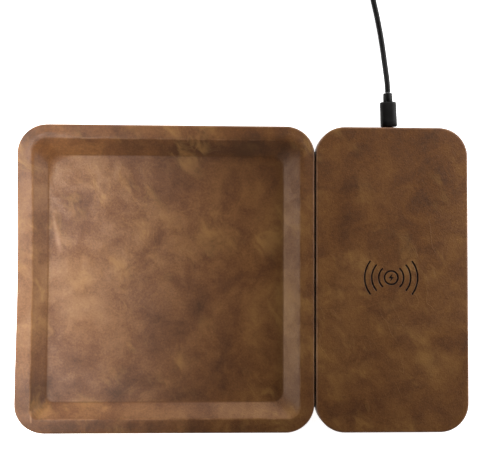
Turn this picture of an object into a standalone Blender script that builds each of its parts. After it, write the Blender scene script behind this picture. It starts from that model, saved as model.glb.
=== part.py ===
"""Leather covered desk set: a catch-all tray and a wireless charging pad held side by side,
with the charging lead plugged into the back of the pad and coiled behind it.

The frame: +X to the right (pad side), +Y to the back (lead side), +Z up, origin in the middle
of the two modules on the surface that they stand on. All sizes are in metres.
"""
import math

import bmesh
import bpy
import numpy as np
from mathutils import Matrix

MM = 0.001

# Plan of the two modules
TRAY_WIDTH = 202.7 * MM
PAD_WIDTH = 105.8 * MM
DEPTH = 210.4 * MM
SEAM = 1.0 * MM
CORNER_RADIUS = 19.9 * MM
TOTAL_WIDTH = TRAY_WIDTH + SEAM + PAD_WIDTH
TRAY_X = -TOTAL_WIDTH / 2 + TRAY_WIDTH / 2
PAD_X = TOTAL_WIDTH / 2 - PAD_WIDTH / 2

# Heights above the table
TOP = 16.5 * MM
DISH_FLOOR = 7.5 * MM
FOOT_HEIGHT = 1.2 * MM
LINING_BOTTOM = 1.5 * MM
LINING_THICKNESS = 0.6 * MM
WRAP_BOTTOM = 2.4 * MM
SKIRT_BOTTOM = 3.7 * MM
BASE_TOP = 4.4 * MM

# Walls and clearances
GAP = 0.3 * MM
LEATHER = 1.0 * MM
SKIN_OFFSET = LEATHER + GAP
TRAY_WALL = 1.5 * MM
PAD_WALL = 1.8 * MM
WRAP_WIDTH = 4.5 * MM
BASE_INSET = WRAP_WIDTH + 0.4 * MM
LINING_INSET = 2.6 * MM

# Dish of the tray: a flat rim, then a slope down to the floor
RIM_WIDTH = 9.9 * MM
SLOPE_WIDTH = 10.4 * MM
# Radii of the dish's corners, from the back right one anticlockwise; the front left is sharpest
RIM_CORNERS = (11.0 * MM, 10.0 * MM, 5.0 * MM, 8.6 * MM)
FLOOR_CORNERS = (8.4 * MM, 8.0 * MM, 5.0 * MM, 7.6 * MM)
SLOPE_ANGLE = math.atan2(TOP - DISH_FLOOR, SLOPE_WIDTH)

# Rounding of the edges: how far it reaches along each face, and how far down
OUTER_ROUND = 1.5 * MM
DISH_ROUND_FLAT = 0.85 * MM
DISH_ROUND_SLOPE = 0.65 * MM
DISH_ROUND_DROP = 0.45 * MM
WRAP_ROUND = 0.8 * MM

# Feet, screws and magnets
FOOT_RADIUS = 6.0 * MM
FOOT_INSET = 22.0 * MM
BOSS_RADIUS = 2.9 * MM
PILOT_RADIUS = 1.5 * MM
SCREW_RADIUS = 1.1 * MM
SCREW_HEAD_RADIUS = 2.2 * MM
SCREW_HEAD_HEIGHT = 1.3 * MM
SCREW_LENGTH = 7.5 * MM
TRAY_BOSS_INSET = 7.9 * MM
TRAY_BOSS_Y = 78.0 * MM
PAD_BOSS_INSET = 11.0 * MM
MAGNET_SIZE = (3.0 * MM, 20.0 * MM, 7.0 * MM)
MAGNET_Y = (-48.0 * MM, 0.0, 48.0 * MM)
MAGNET_Z = 9.0 * MM
STRIP_SIZE = (0.4 * MM, 176.0 * MM, 11.4 * MM)
STRIP_Z = 9.2 * MM

# Charging sign pressed into the pad's leather: a ring, a bolt and three arcs on each side
SIGN_X = PAD_X - 1.05 * MM
SIGN_Y = 0.9 * MM
SIGN_DEPTH = 0.45 * MM
SIGN_LINE = 1.0 * MM
SIGN_RING_RADIUS = 4.65 * MM
SIGN_ARC_RADII = (8.65 * MM, 13.5 * MM, 18.4 * MM)
SIGN_ARC_HALF_ANGLES = (45.0, 39.5, 37.5)
BOLT_HALF_WIDTH = 1.9 * MM
BOLT_HALF_HEIGHT = 2.75 * MM

# Electronics inside the pad
COIL_OUTER_RADIUS = 25.0 * MM
COIL_INNER_RADIUS = 10.5 * MM
COIL_HEIGHT = 1.8 * MM
COIL_TOP = TOP - SKIN_OFFSET - PAD_WALL - GAP
FERRITE_SIDE = 54.0 * MM
FERRITE_HEIGHT = 1.0 * MM
CARRIER_SIDE = 60.0 * MM
CARRIER_HEIGHT = 1.4 * MM
CARRIER_LEG_RADIUS = 2.2 * MM
CARRIER_LEG_PLACE = 24.0 * MM
BOARD_SIZE = (46.0 * MM, 34.0 * MM, 1.2 * MM)
BOARD_BOTTOM = 5.5 * MM
STANDOFF_RADIUS = 2.4 * MM
BOARD_HOLE_X = 19.5 * MM

# Lead: small plug, cord, coil and its tie, large plug
PLUG_X = PAD_X - 0.8 * MM
PLUG_Z = 8.5 * MM
PAD_BACK = DEPTH / 2
CORD_RADIUS = 1.95 * MM
SHELL_WIDTH = 6.85 * MM
SHELL_HEIGHT = 1.8 * MM
SHELL_WALL = 0.25 * MM
SHELL_TIP_Y = PAD_BACK - 5.0 * MM
OVERMOULD_FRONT = PAD_BACK + 1.4 * MM
OVERMOULD_LENGTH = 17.3 * MM
OVERMOULD_WIDTH = 11.6 * MM
OVERMOULD_HEIGHT = 7.0 * MM
NECK_LENGTH = 6.0 * MM
NECK_RADIUS = 3.3 * MM
PLUG_TILT = 2.0
SOCKET_WIDTH = 8.0 * MM
SOCKET_HEIGHT = 3.0 * MM
SOCKET_WALL = 0.3 * MM
SOCKET_MOUTH_Y = PAD_BACK - SKIN_OFFSET - PAD_WALL - GAP
SOCKET_DEPTH = 5.6 * MM

COIL_CENTRE = (58.0 * MM, 229.0 * MM)
TURN_RADII = (26.5 * MM, 22.5 * MM, 18.5 * MM, 14.5 * MM)
HANK_HEIGHT = 8.15 * MM
TIE_WIDTH = 8.0 * MM
TIE_THICKNESS = 0.6 * MM
TIE_TOP = 9.05 * MM
END_PLUG_Y = COIL_CENTRE[1] + TURN_RADII[0]
END_PLUG_Z = 4.1 * MM
END_NECK_X = 27.0 * MM
END_NECK_LENGTH = 12.0 * MM
END_HOUSING_LENGTH = 27.0 * MM
END_HOUSING_WIDTH = 15.6 * MM
END_HOUSING_HEIGHT = 8.0 * MM
END_SHELL_LENGTH = 18.6 * MM
END_SHELL_WIDTH = 12.0 * MM
END_SHELL_HEIGHT = 4.5 * MM
END_SHELL_WALL = 0.4 * MM

# The free cord, from the small plug to the coil: x, y, z of the points that it passes through
CORD_ROUTE = (
    (100.30, 130.9, 8.50), (100.20, 134.0, 8.40), (99.90, 140.0, 7.45), (99.35, 147.5, 5.60),
    (98.80, 154.5, 3.85), (98.00, 162.5, 2.70), (96.40, 173.5, 2.08), (94.05, 186.0, 2.00),
    (91.50, 197.5, 2.00), (89.10, 209.0, 2.00), (87.30, 218.0, 2.00),
)
# The short tail, from the coil to the large plug
TAIL_ROUTE = (
    (42.0, 255.5, 4.95), (39.0, 255.5, 4.35), (35.5, 255.5, 4.00), (31.5, 255.5, 4.00),
    (27.3, 255.5, 4.10),
)
CORD_POINT_STEP = 7.0 * MM

CORNER_STEPS = 6
ROUND_STEPS = 12
FOOT_STEPS = 20

# name: colour, roughness, metallic
FINISHES = {
    "leather": ((0.165, 0.082, 0.040), 0.42, 0.0),
    "moulded_black": ((0.030, 0.030, 0.032), 0.55, 0.0),
    "lining": ((0.055, 0.042, 0.034), 0.92, 0.0),
    "foot_rubber": ((0.020, 0.020, 0.020), 0.80, 0.0),
    "screw_steel": ((0.60, 0.60, 0.62), 0.32, 1.0),
    "magnet_nickel": ((0.66, 0.65, 0.63), 0.24, 1.0),
    "seam_felt": ((0.012, 0.010, 0.010), 0.90, 0.0),
    "copper": ((0.72, 0.32, 0.16), 0.35, 1.0),
    "ferrite": ((0.085, 0.085, 0.090), 0.60, 0.0),
    "board_green": ((0.020, 0.150, 0.070), 0.45, 0.0),
    "chip_black": ((0.025, 0.025, 0.027), 0.50, 0.0),
    "capacitor_tan": ((0.420, 0.290, 0.160), 0.55, 0.0),
    "bead_black": ((0.040, 0.038, 0.036), 0.60, 0.0),
    "plug_steel": ((0.72, 0.72, 0.73), 0.25, 1.0),
    "cord_black": ((0.018, 0.018, 0.020), 0.50, 0.0),
    "insert_white": ((0.75, 0.75, 0.74), 0.50, 0.0),
    "tie_black": ((0.025, 0.025, 0.026), 0.85, 0.0),
}


def clear_scene():
    for old in list(bpy.data.objects):
        bpy.data.objects.remove(old, do_unlink=True)


def new_collection(name):
    collection = bpy.data.collections.new(name)
    bpy.context.scene.collection.children.link(collection)
    return collection


clear_scene()
PARTS = new_collection("charging_desk_set")
CUTTERS = new_collection("cutters")


def new_empty(name, place):
    empty = bpy.data.objects.new(name, None)
    empty.empty_display_size = 0.01
    empty.location = place
    PARTS.objects.link(empty)
    return empty


def finish_material(name, finish):
    colour, roughness, metallic = FINISHES[finish]
    material = bpy.data.materials.new(f"{name}_{finish}")
    material.use_nodes = True
    shader = material.node_tree.nodes["Principled BSDF"]
    shader.inputs["Base Color"].default_value = (*colour, 1.0)
    shader.inputs["Roughness"].default_value = roughness
    shader.inputs["Metallic"].default_value = metallic
    return material


def smooth(mesh, angle=35.0):
    mesh.shade_smooth()
    mesh.set_sharp_from_angle(angle=math.radians(angle))


def move_to(obj, collection):
    for held_by in list(obj.users_collection):
        held_by.objects.unlink(obj)
    collection.objects.link(obj)


def place_part(obj, name, finish, parent):
    """Name an object, give it its own material and hang it on its module."""
    obj.name = name
    obj.data.name = name
    move_to(obj, PARTS)
    obj.data.materials.clear()
    obj.data.materials.append(finish_material(name, finish))
    obj.parent = parent
    obj.matrix_parent_inverse = Matrix.Translation(-parent.location)
    return obj


def as_cutter(obj, name):
    obj.name = name
    move_to(obj, CUTTERS)
    obj.hide_render = True
    obj.display_type = "WIRE"
    return obj


def boolean(target, cutter, operation="DIFFERENCE"):
    modifier = target.modifiers.new(f"{operation.lower()}_{cutter.name}", "BOOLEAN")
    modifier.operation = operation
    modifier.solver = "EXACT"
    modifier.object = cutter


def mesh_object(mesh, name):
    obj = bpy.data.objects.new(name, mesh)
    PARTS.objects.link(obj)
    return obj


def box(name, size, centre, bevel=0.0, segments=1):
    bpy.ops.mesh.primitive_cube_add(size=1.0, location=centre)
    obj = bpy.context.object
    obj.name = name
    obj.data.transform(Matrix.Diagonal((*size, 1.0)))
    if bevel > 0.0:
        modifier = obj.modifiers.new("edges", "BEVEL")
        modifier.width = bevel
        modifier.segments = segments
        modifier.limit_method = "ANGLE"
    return obj


def cylinder(name, radius, bottom, top, x, y, steps=ROUND_STEPS):
    bpy.ops.mesh.primitive_cylinder_add(vertices=steps, radius=radius, depth=top - bottom,
                                        location=(x, y, (top + bottom) / 2))
    obj = bpy.context.object
    obj.name = name
    smooth(obj.data)
    return obj


def turned(name, profile, place, steps=ROUND_STEPS):
    """Turn a profile of (radius, height) pairs, top to bottom, about the upright axis."""
    mesh = bpy.data.meshes.new(name)
    mesh.from_pydata([(radius, 0.0, height) for radius, height in profile],
                     [(i, i + 1) for i in range(len(profile) - 1)], [])
    obj = mesh_object(mesh, name)
    obj.location = place
    screw = obj.modifiers.new("turn", "SCREW")
    screw.axis = "Z"
    screw.steps = steps
    screw.render_steps = steps
    screw.use_merge_vertices = True
    screw.merge_threshold = 0.00001
    screw.use_smooth_shade = True
    return obj


def arc(centre, radius, start, end, steps):
    angles = np.radians(np.linspace(start, end, steps + 1))
    return [(centre[0] + radius * math.cos(a), centre[1] + radius * math.sin(a)) for a in angles]


def rounded_rectangle(width, depth, radii, steps=CORNER_STEPS):
    """Points round a rectangle; radii is one radius, or four from the back right corner on."""
    if isinstance(radii, float):
        radii = (radii,) * 4
    points = []
    corners = ((1, 1, 0), (-1, 1, 90), (-1, -1, 180), (1, -1, 270))
    for (side_x, side_y, start), radius in zip(corners, radii):
        centre = (side_x * (width / 2 - radius), side_y * (depth / 2 - radius))
        points += arc(centre, radius, start, start + 90, steps)
    return points


def flat_outline(name, outlines, thickness, place, stand_up=False):
    """Fill flat outlines, inner ones as holes, and give them a thickness about their plane."""
    curve = bpy.data.curves.new(name, "CURVE")
    curve.dimensions = "2D"
    curve.fill_mode = "BOTH"
    curve.extrude = thickness / 2
    for points in outlines:
        spline = curve.splines.new("POLY")
        spline.points.add(len(points) - 1)
        for point, (x, y) in zip(spline.points, points):
            point.co = (x, y, 0.0, 1.0)
        spline.use_cyclic_u = True
    obj = bpy.data.objects.new(name, curve)
    PARTS.objects.link(obj)
    obj.location = place
    if stand_up:
        obj.rotation_euler = (math.radians(90.0), 0.0, 0.0)
    bpy.context.view_layer.update()
    return curve_to_mesh(obj)


def curve_to_mesh(obj):
    """Swap a curve object for a welded mesh in the same place."""
    evaluated = obj.evaluated_get(bpy.context.evaluated_depsgraph_get())
    mesh = bpy.data.meshes.new_from_object(evaluated)
    work = bmesh.new()
    work.from_mesh(mesh)
    bmesh.ops.remove_doubles(work, verts=work.verts, dist=0.000001)
    bmesh.ops.recalc_face_normals(work, faces=work.faces)
    work.to_mesh(mesh)
    work.free()
    name = obj.name
    place = obj.matrix_world.copy()
    bpy.data.objects.remove(obj, do_unlink=True)
    solid = mesh_object(mesh, name)
    solid.matrix_world = place
    return solid


def smooth_route(points, step):
    """Points at even steps along a Catmull-Rom curve through the route's own points."""
    route = np.array(points, float) * MM
    padded = np.vstack([2 * route[0] - route[1], route, 2 * route[-1] - route[-2]])
    fine = []
    for before, start, end, after in zip(padded, padded[1:], padded[2:], padded[3:]):
        for t in np.linspace(0.0, 1.0, 24, endpoint=False):
            fine.append(0.5 * (2 * start + (end - before) * t
                               + (2 * before - 5 * start + 4 * end - after) * t ** 2
                               + (3 * start - before - 3 * end + after) * t ** 3))
    fine.append(route[-1])
    fine = np.array(fine)
    travelled = np.concatenate([[0.0], np.cumsum(np.linalg.norm(np.diff(fine, axis=0), axis=1))])
    count = max(4, int(round(travelled[-1] / step)))
    stops = np.linspace(0.0, travelled[-1], count + 1)
    return np.stack([np.interp(stops, travelled, fine[:, axis]) for axis in range(3)], axis=1)


def tube(name, points, radius):
    curve = bpy.data.curves.new(name, "CURVE")
    curve.dimensions = "3D"
    curve.bevel_depth = radius
    curve.bevel_resolution = 2
    curve.use_fill_caps = True
    spline = curve.splines.new("POLY")
    spline.points.add(len(points) - 1)
    for point, place in zip(spline.points, points):
        point.co = (*place, 1.0)
    obj = bpy.data.objects.new(name, curve)
    PARTS.objects.link(obj)
    return obj


def loft(name, rings):
    """Skin a stack of unlike rounded rectangles (width, depth, radii, height), last one filled."""
    work = bmesh.new()
    loops = []
    for width, depth, radii, height in rings:
        outline = rounded_rectangle(width, depth, radii)
        loops.append([work.verts.new((x, y, height)) for x, y in outline])
    for lower, upper in zip(loops, loops[1:]):
        for a, b, c, d in zip(lower, lower[1:] + lower[:1], upper[1:] + upper[:1], upper):
            work.faces.new((a, b, c, d))
    work.faces.new(loops[-1])
    mesh = bpy.data.meshes.new(name)
    work.to_mesh(mesh)
    work.free()
    smooth(mesh, 50.0)
    return mesh_object(mesh, name)


def shell(name, rings, thickness, centre):
    obj = loft(name, rings)
    obj.location = (centre, 0.0, 0.0)
    solidify = obj.modifiers.new("wall", "SOLIDIFY")
    solidify.thickness = thickness
    solidify.offset = -1.0
    solidify.use_even_offset = True
    return obj


def ring_at(width, inset, height, radii=None):
    corners = CORNER_RADIUS - inset if radii is None else radii
    return (width - 2 * inset, DEPTH - 2 * inset, corners, height)


def eased_corners(radii):
    """The corners a little way out from an edge, where its rounding starts."""
    return tuple(radius + 0.5 * MM for radius in radii)


def side_rings(width, offset, bottom):
    """The side and the rounded top edge of a module, offset inwards from its outside."""
    top = TOP - offset
    return [
        ring_at(width, offset, bottom),
        ring_at(width, offset, top - OUTER_ROUND),
        ring_at(width, offset + 0.3 * OUTER_ROUND, top - 0.3 * OUTER_ROUND),
        ring_at(width, offset + OUTER_ROUND, top),
    ]


def dish_rings(width, offset):
    """The rim's inner edge, the slope and the floor, offset below the leather's face."""
    shift = offset * math.tan(SLOPE_ANGLE / 2)
    edge = RIM_WIDTH - shift
    foot = RIM_WIDTH + SLOPE_WIDTH - shift
    top = TOP - offset
    floor = DISH_FLOOR - offset
    return [
        ring_at(width, edge - DISH_ROUND_FLAT, top, eased_corners(RIM_CORNERS)),
        ring_at(width, edge + DISH_ROUND_SLOPE, top - DISH_ROUND_DROP, RIM_CORNERS),
        ring_at(width, foot - DISH_ROUND_SLOPE, floor + DISH_ROUND_DROP,
                eased_corners(FLOOR_CORNERS)),
        ring_at(width, foot + DISH_ROUND_FLAT, floor, FLOOR_CORNERS),
    ]


def wrap_rings(width):
    """The leather's edge, turned in under the module."""
    return [
        ring_at(width, WRAP_WIDTH, WRAP_BOTTOM),
        ring_at(width, WRAP_ROUND, WRAP_BOTTOM),
        ring_at(width, 0.0, WRAP_BOTTOM + WRAP_ROUND),
    ]


def flat_plate(name, width, inset, bottom, thickness, centre):
    outline = rounded_rectangle(width - 2 * inset, DEPTH - 2 * inset, CORNER_RADIUS - inset)
    return flat_outline(name, [outline], thickness, (centre, 0.0, bottom + thickness / 2))


def corner_places(width, inset_x, inset_y, centre):
    half_x = width / 2 - inset_x
    half_y = DEPTH / 2 - inset_y
    return [(centre + sx * half_x, sy * half_y) for sx in (-1, 1) for sy in (-1, 1)]


def add_feet(prefix, width, centre, parent):
    for number, (x, y) in enumerate(corner_places(width, FOOT_INSET, FOOT_INSET, centre), 1):
        profile = [(0.0, FOOT_HEIGHT), (FOOT_RADIUS, FOOT_HEIGHT),
                   (FOOT_RADIUS, 0.35 * MM), (FOOT_RADIUS - 0.35 * MM, 0.0), (0.0, 0.0)]
        foot = turned(f"{prefix}_foot_{number}", profile, (x, y, 0.0), FOOT_STEPS)
        place_part(foot, f"{prefix}_foot_{number}", "foot_rubber", parent)


def screw_profile(length):
    shank_top = SCREW_HEAD_HEIGHT
    return [(0.0, length), (SCREW_RADIUS * 0.5, length), (SCREW_RADIUS, length - 0.9 * MM),
            (SCREW_RADIUS, shank_top), (SCREW_HEAD_RADIUS, 0.35 * MM),
            (SCREW_HEAD_RADIUS, 0.0), (0.0, 0.0)]


def add_base(prefix, width, centre, places, parent):
    """The base plate with its screw holes, and the screws that hold it."""
    base = flat_plate(f"{prefix}_base", width, BASE_INSET, WRAP_BOTTOM, BASE_TOP - WRAP_BOTTOM,
                      centre)
    place_part(base, f"{prefix}_base", "moulded_black", parent)
    for number, (x, y) in enumerate(places, 1):
        profile = [(SCREW_RADIUS + GAP, BASE_TOP + MM), (SCREW_RADIUS + GAP, WRAP_BOTTOM + 1.6 * MM),
                   (SCREW_HEAD_RADIUS + GAP, WRAP_BOTTOM + 0.7 * MM),
                   (SCREW_HEAD_RADIUS + GAP, WRAP_BOTTOM - MM)]
        closed = [(0.0, profile[0][1])] + profile + [(0.0, profile[-1][1])]
        hole = as_cutter(turned(f"{prefix}_base_hole_{number}", closed, (x, y, 0.0)),
                         f"{prefix}_base_hole_{number}")
        boolean(base, hole)
        name = f"{prefix}_screw_{number}"
        screw = turned(name, screw_profile(SCREW_LENGTH), (x, y, WRAP_BOTTOM + 0.2 * MM))
        place_part(screw, name, "screw_steel", parent)
    return base


def add_bosses(body, prefix, places, top):
    """Screw bosses that stand down from a moulded shell, each with its pilot hole."""
    for number, (x, y) in enumerate(places, 1):
        boss = cylinder(f"{prefix}_boss_{number}", BOSS_RADIUS, BASE_TOP + GAP, top, x, y)
        boolean(body, as_cutter(boss, f"{prefix}_boss_{number}"), "UNION")
        pilot = cylinder(f"{prefix}_pilot_{number}", PILOT_RADIUS, BASE_TOP - MM,
                         WRAP_BOTTOM + SCREW_LENGTH + 0.7 * MM, x, y)
        boolean(body, as_cutter(pilot, f"{prefix}_pilot_{number}"))


def add_lining(prefix, width, centre, parent):
    lining = flat_plate(f"{prefix}_lining", width, LINING_INSET, LINING_BOTTOM, LINING_THICKNESS,
                        centre)
    place_part(lining, f"{prefix}_lining", "lining", parent)


def add_magnets(prefix, x, parent):
    for number, y in enumerate(MAGNET_Y, 1):
        name = f"{prefix}_magnet_{number}"
        magnet = box(name, MAGNET_SIZE, (x, y, MAGNET_Z), 0.4 * MM)
        place_part(magnet, name, "magnet_nickel", parent)


def build_tray(parent):
    skin = shell("tray_leather", wrap_rings(TRAY_WIDTH) + side_rings(TRAY_WIDTH, 0.0, TOP / 2)[1:]
                 + dish_rings(TRAY_WIDTH, 0.0), LEATHER, TRAY_X)
    place_part(skin, "tray_leather", "leather", parent)
    core = shell("tray_core", side_rings(TRAY_WIDTH, SKIN_OFFSET, SKIRT_BOTTOM)
                 + dish_rings(TRAY_WIDTH, SKIN_OFFSET), TRAY_WALL, TRAY_X)
    place_part(core, "tray_core", "moulded_black", parent)
    half = TRAY_WIDTH / 2 - TRAY_BOSS_INSET
    places = [(TRAY_X + sx * half, sy * TRAY_BOSS_Y) for sx in (-1, 1) for sy in (-1, 1)]
    add_bosses(core, "tray", places, TOP - SKIN_OFFSET - TRAY_WALL / 2)
    add_base("tray", TRAY_WIDTH, TRAY_X, places, parent)
    add_lining("tray", TRAY_WIDTH, TRAY_X, parent)
    add_feet("tray", TRAY_WIDTH, TRAY_X, parent)
    wall_face = TRAY_X + TRAY_WIDTH / 2 - SKIN_OFFSET - TRAY_WALL
    add_magnets("tray", wall_face - GAP - MAGNET_SIZE[0] / 2, parent)
    strip_x = TRAY_X + TRAY_WIDTH / 2 + SEAM / 2
    strip = box("seam_strip", STRIP_SIZE, (strip_x, 0.0, STRIP_Z))
    place_part(strip, "seam_strip", "seam_felt", parent)


def bolt_outline():
    """A small lightning bolt, as tall as it needs to be inside the sign's ring."""
    w, h = BOLT_HALF_WIDTH, BOLT_HALF_HEIGHT
    half = [(0.40 * w, h), (-w, -0.16 * h), (-0.10 * w, -0.16 * h)]
    points = half + [(-x, -y) for x, y in half]
    return [(SIGN_X + x, SIGN_Y + y) for x, y in points]


def sign_cutters():
    """Flat outlines for the ring, the bolt and the arcs of the charging sign."""
    half_line = SIGN_LINE / 2
    centre = (SIGN_X, SIGN_Y)
    ring = [arc(centre, SIGN_RING_RADIUS + half_line, 0, 345, 23),
            arc(centre, SIGN_RING_RADIUS - half_line, 0, 345, 23)]
    pieces = [("sign_ring", ring), ("sign_bolt", [bolt_outline()])]
    for number, (radius, half_angle) in enumerate(zip(SIGN_ARC_RADII, SIGN_ARC_HALF_ANGLES), 1):
        for side, middle in (("right", 0), ("left", 180)):
            outer = arc(centre, radius + half_line, middle - half_angle, middle + half_angle, 10)
            inner = arc(centre, radius - half_line, middle + half_angle, middle - half_angle, 10)
            pieces.append((f"sign_arc_{side}_{number}", [outer + inner]))
    depth = SIGN_DEPTH + MM
    return [as_cutter(flat_outline(name, outlines, depth, (0.0, 0.0, TOP + MM - depth / 2)), name)
            for name, outlines in pieces]


def build_pad_case(parent):
    skin = shell("pad_leather", wrap_rings(PAD_WIDTH) + side_rings(PAD_WIDTH, 0.0, TOP / 2)[1:],
                 LEATHER, PAD_X)
    place_part(skin, "pad_leather", "leather", parent)
    for cutter in sign_cutters():
        boolean(skin, cutter)
    cover = shell("pad_top_shell", side_rings(PAD_WIDTH, SKIN_OFFSET, SKIRT_BOTTOM), PAD_WALL, PAD_X)
    place_part(cover, "pad_top_shell", "moulded_black", parent)
    mouth = rounded_rectangle(SOCKET_WIDTH + 1.0 * MM, SOCKET_HEIGHT + 1.0 * MM, 1.4 * MM, 3)
    opening = as_cutter(flat_outline("socket_opening", [mouth], 8.0 * MM,
                                     (PLUG_X, PAD_BACK - 1.0 * MM, PLUG_Z), True), "socket_opening")
    boolean(skin, opening)
    boolean(cover, opening)
    places = corner_places(PAD_WIDTH, PAD_BOSS_INSET, PAD_BOSS_INSET, PAD_X)
    add_bosses(cover, "pad", places, TOP - SKIN_OFFSET - PAD_WALL / 2)
    base = add_base("pad", PAD_WIDTH, PAD_X, places, parent)
    for side in (-1, 1):
        post = cylinder(f"board_post_{side}", STANDOFF_RADIUS, BASE_TOP - MM, BOARD_BOTTOM - GAP,
                        PLUG_X + side * BOARD_HOLE_X, board_centre_y())
        boolean(base, as_cutter(post, post.name), "UNION")
        hole = cylinder(f"post_hole_{side}", 1.2 * MM, WRAP_BOTTOM + 0.6 * MM, BOARD_BOTTOM + MM,
                        PLUG_X + side * BOARD_HOLE_X, board_centre_y())
        boolean(base, as_cutter(hole, hole.name))
    add_lining("pad", PAD_WIDTH, PAD_X, parent)
    add_feet("pad", PAD_WIDTH, PAD_X, parent)
    wall_face = PAD_X - PAD_WIDTH / 2 + SKIN_OFFSET + PAD_WALL
    add_magnets("pad", wall_face + GAP + MAGNET_SIZE[0] / 2, parent)


def board_centre_y():
    return SOCKET_MOUTH_Y - BOARD_SIZE[1] / 2 - 0.4 * MM


def build_charging_coil(parent):
    """The flat copper coil under the top shell, its ferrite sheet, carrier and leads."""
    half_height = COIL_HEIGHT / 2
    profile = [(COIL_INNER_RADIUS, half_height), (COIL_OUTER_RADIUS, half_height),
               (COIL_OUTER_RADIUS, -half_height), (COIL_INNER_RADIUS, -half_height),
               (COIL_INNER_RADIUS, half_height)]
    coil = turned("charging_coil", profile, (SIGN_X, SIGN_Y, COIL_TOP - half_height), 36)
    place_part(coil, "charging_coil", "copper", parent)
    ferrite_top = COIL_TOP - COIL_HEIGHT - GAP
    ferrite = box("ferrite_sheet", (FERRITE_SIDE, FERRITE_SIDE, FERRITE_HEIGHT),
                  (SIGN_X, SIGN_Y, ferrite_top - FERRITE_HEIGHT / 2), 0.2 * MM)
    place_part(ferrite, "ferrite_sheet", "ferrite", parent)
    carrier_top = ferrite_top - FERRITE_HEIGHT - GAP
    carrier = box("coil_carrier", (CARRIER_SIDE, CARRIER_SIDE, CARRIER_HEIGHT),
                  (SIGN_X, SIGN_Y, carrier_top - CARRIER_HEIGHT / 2))
    place_part(carrier, "coil_carrier", "moulded_black", parent)
    for number, (sx, sy) in enumerate(((-1, -1), (-1, 1), (1, -1), (1, 1)), 1):
        leg = cylinder(f"carrier_leg_{number}", CARRIER_LEG_RADIUS, BASE_TOP + GAP,
                       carrier_top - CARRIER_HEIGHT / 2, SIGN_X + sx * CARRIER_LEG_PLACE,
                       SIGN_Y + sy * CARRIER_LEG_PLACE)
        boolean(carrier, as_cutter(leg, leg.name), "UNION")
    bead = turned("coil_thermistor", [(0.0, 1.6 * MM), (1.0 * MM, 1.3 * MM), (1.3 * MM, 0.8 * MM),
                                      (1.3 * MM, 0.3 * MM), (0.9 * MM, 0.0), (0.0, 0.0)],
                  (SIGN_X, SIGN_Y, ferrite_top + GAP), 12)
    place_part(bead, "coil_thermistor", "bead_black", parent)
    for number, side in enumerate((-1, 1), 1):
        route = [(SIGN_X + side * 4.0 * MM + x, SIGN_Y + y, z) for x, y, z in coil_lead_path(side)]
        name = f"coil_lead_{number}"
        lead = tube(name, smooth_route(np.array(route) / MM, 3.5 * MM), 0.45 * MM)
        place_part(lead, name, "copper", parent)


def coil_lead_path(side):
    """One coil lead, out from the coil's edge, over the carrier and down to the board."""
    edge = COIL_OUTER_RADIUS + 1.6 * MM
    high = COIL_TOP - COIL_HEIGHT / 2
    board_top = BOARD_BOTTOM + BOARD_SIZE[2]
    board_front = board_centre_y() - BOARD_SIZE[1] / 2 - SIGN_Y
    return [(0.0, edge, high), (side * 0.6 * MM, edge + 5.0 * MM, high),
            (side * 1.5 * MM, board_front - 16.0 * MM, high - 0.6 * MM),
            (side * 2.4 * MM, board_front - 6.0 * MM, board_top + 2.4 * MM),
            (side * 2.6 * MM, board_front + 2.5 * MM, board_top + 0.8 * MM)]


def build_board(parent):
    """The control board with its chips, coil capacitors, choke and the lead's socket."""
    centre_y = board_centre_y()
    top = BOARD_BOTTOM + BOARD_SIZE[2]
    board = box("control_board", BOARD_SIZE, (PLUG_X, centre_y, BOARD_BOTTOM + BOARD_SIZE[2] / 2))
    place_part(board, "control_board", "board_green", parent)
    for number, side in enumerate((-1, 1), 1):
        x = PLUG_X + side * BOARD_HOLE_X
        hole = cylinder(f"board_hole_{number}", 1.3 * MM, BOARD_BOTTOM - MM, top + MM, x, centre_y)
        boolean(board, as_cutter(hole, hole.name))
        profile = [(0.0, 1.5 * MM), (1.5 * MM, 1.5 * MM), (2.0 * MM, 1.0 * MM), (2.0 * MM, 0.3 * MM),
                   (0.9 * MM, 0.3 * MM), (0.9 * MM, -2.6 * MM), (0.0, -2.6 * MM)]
        name = f"board_screw_{number}"
        place_part(turned(name, profile, (x, centre_y, top), 16), name, "screw_steel", parent)
    chips = (
        ("controller_chip", (7.0, 7.0, 0.9), (-2.0, -2.0), "chip_black", 0.1),
        ("bridge_chip", (5.0, 6.0, 1.0), (10.0, -5.0), "chip_black", 0.1),
        ("power_choke", (6.6, 6.6, 3.0), (-12.5, 4.5), "ferrite", 0.5),
        ("coil_capacitor_1", (3.2, 2.5, 1.6), (11.5, -12.0), "capacitor_tan", 0.15),
        ("coil_capacitor_2", (3.2, 2.5, 1.6), (-9.5, -12.0), "capacitor_tan", 0.15),
    )
    for name, size, place, finish, bevel in chips:
        metres = [side * MM for side in size]
        centre = (PLUG_X + place[0] * MM, centre_y + place[1] * MM, top + GAP + metres[2] / 2)
        place_part(box(name, metres, centre, bevel * MM), name, finish, parent)
    build_socket(parent)


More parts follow.
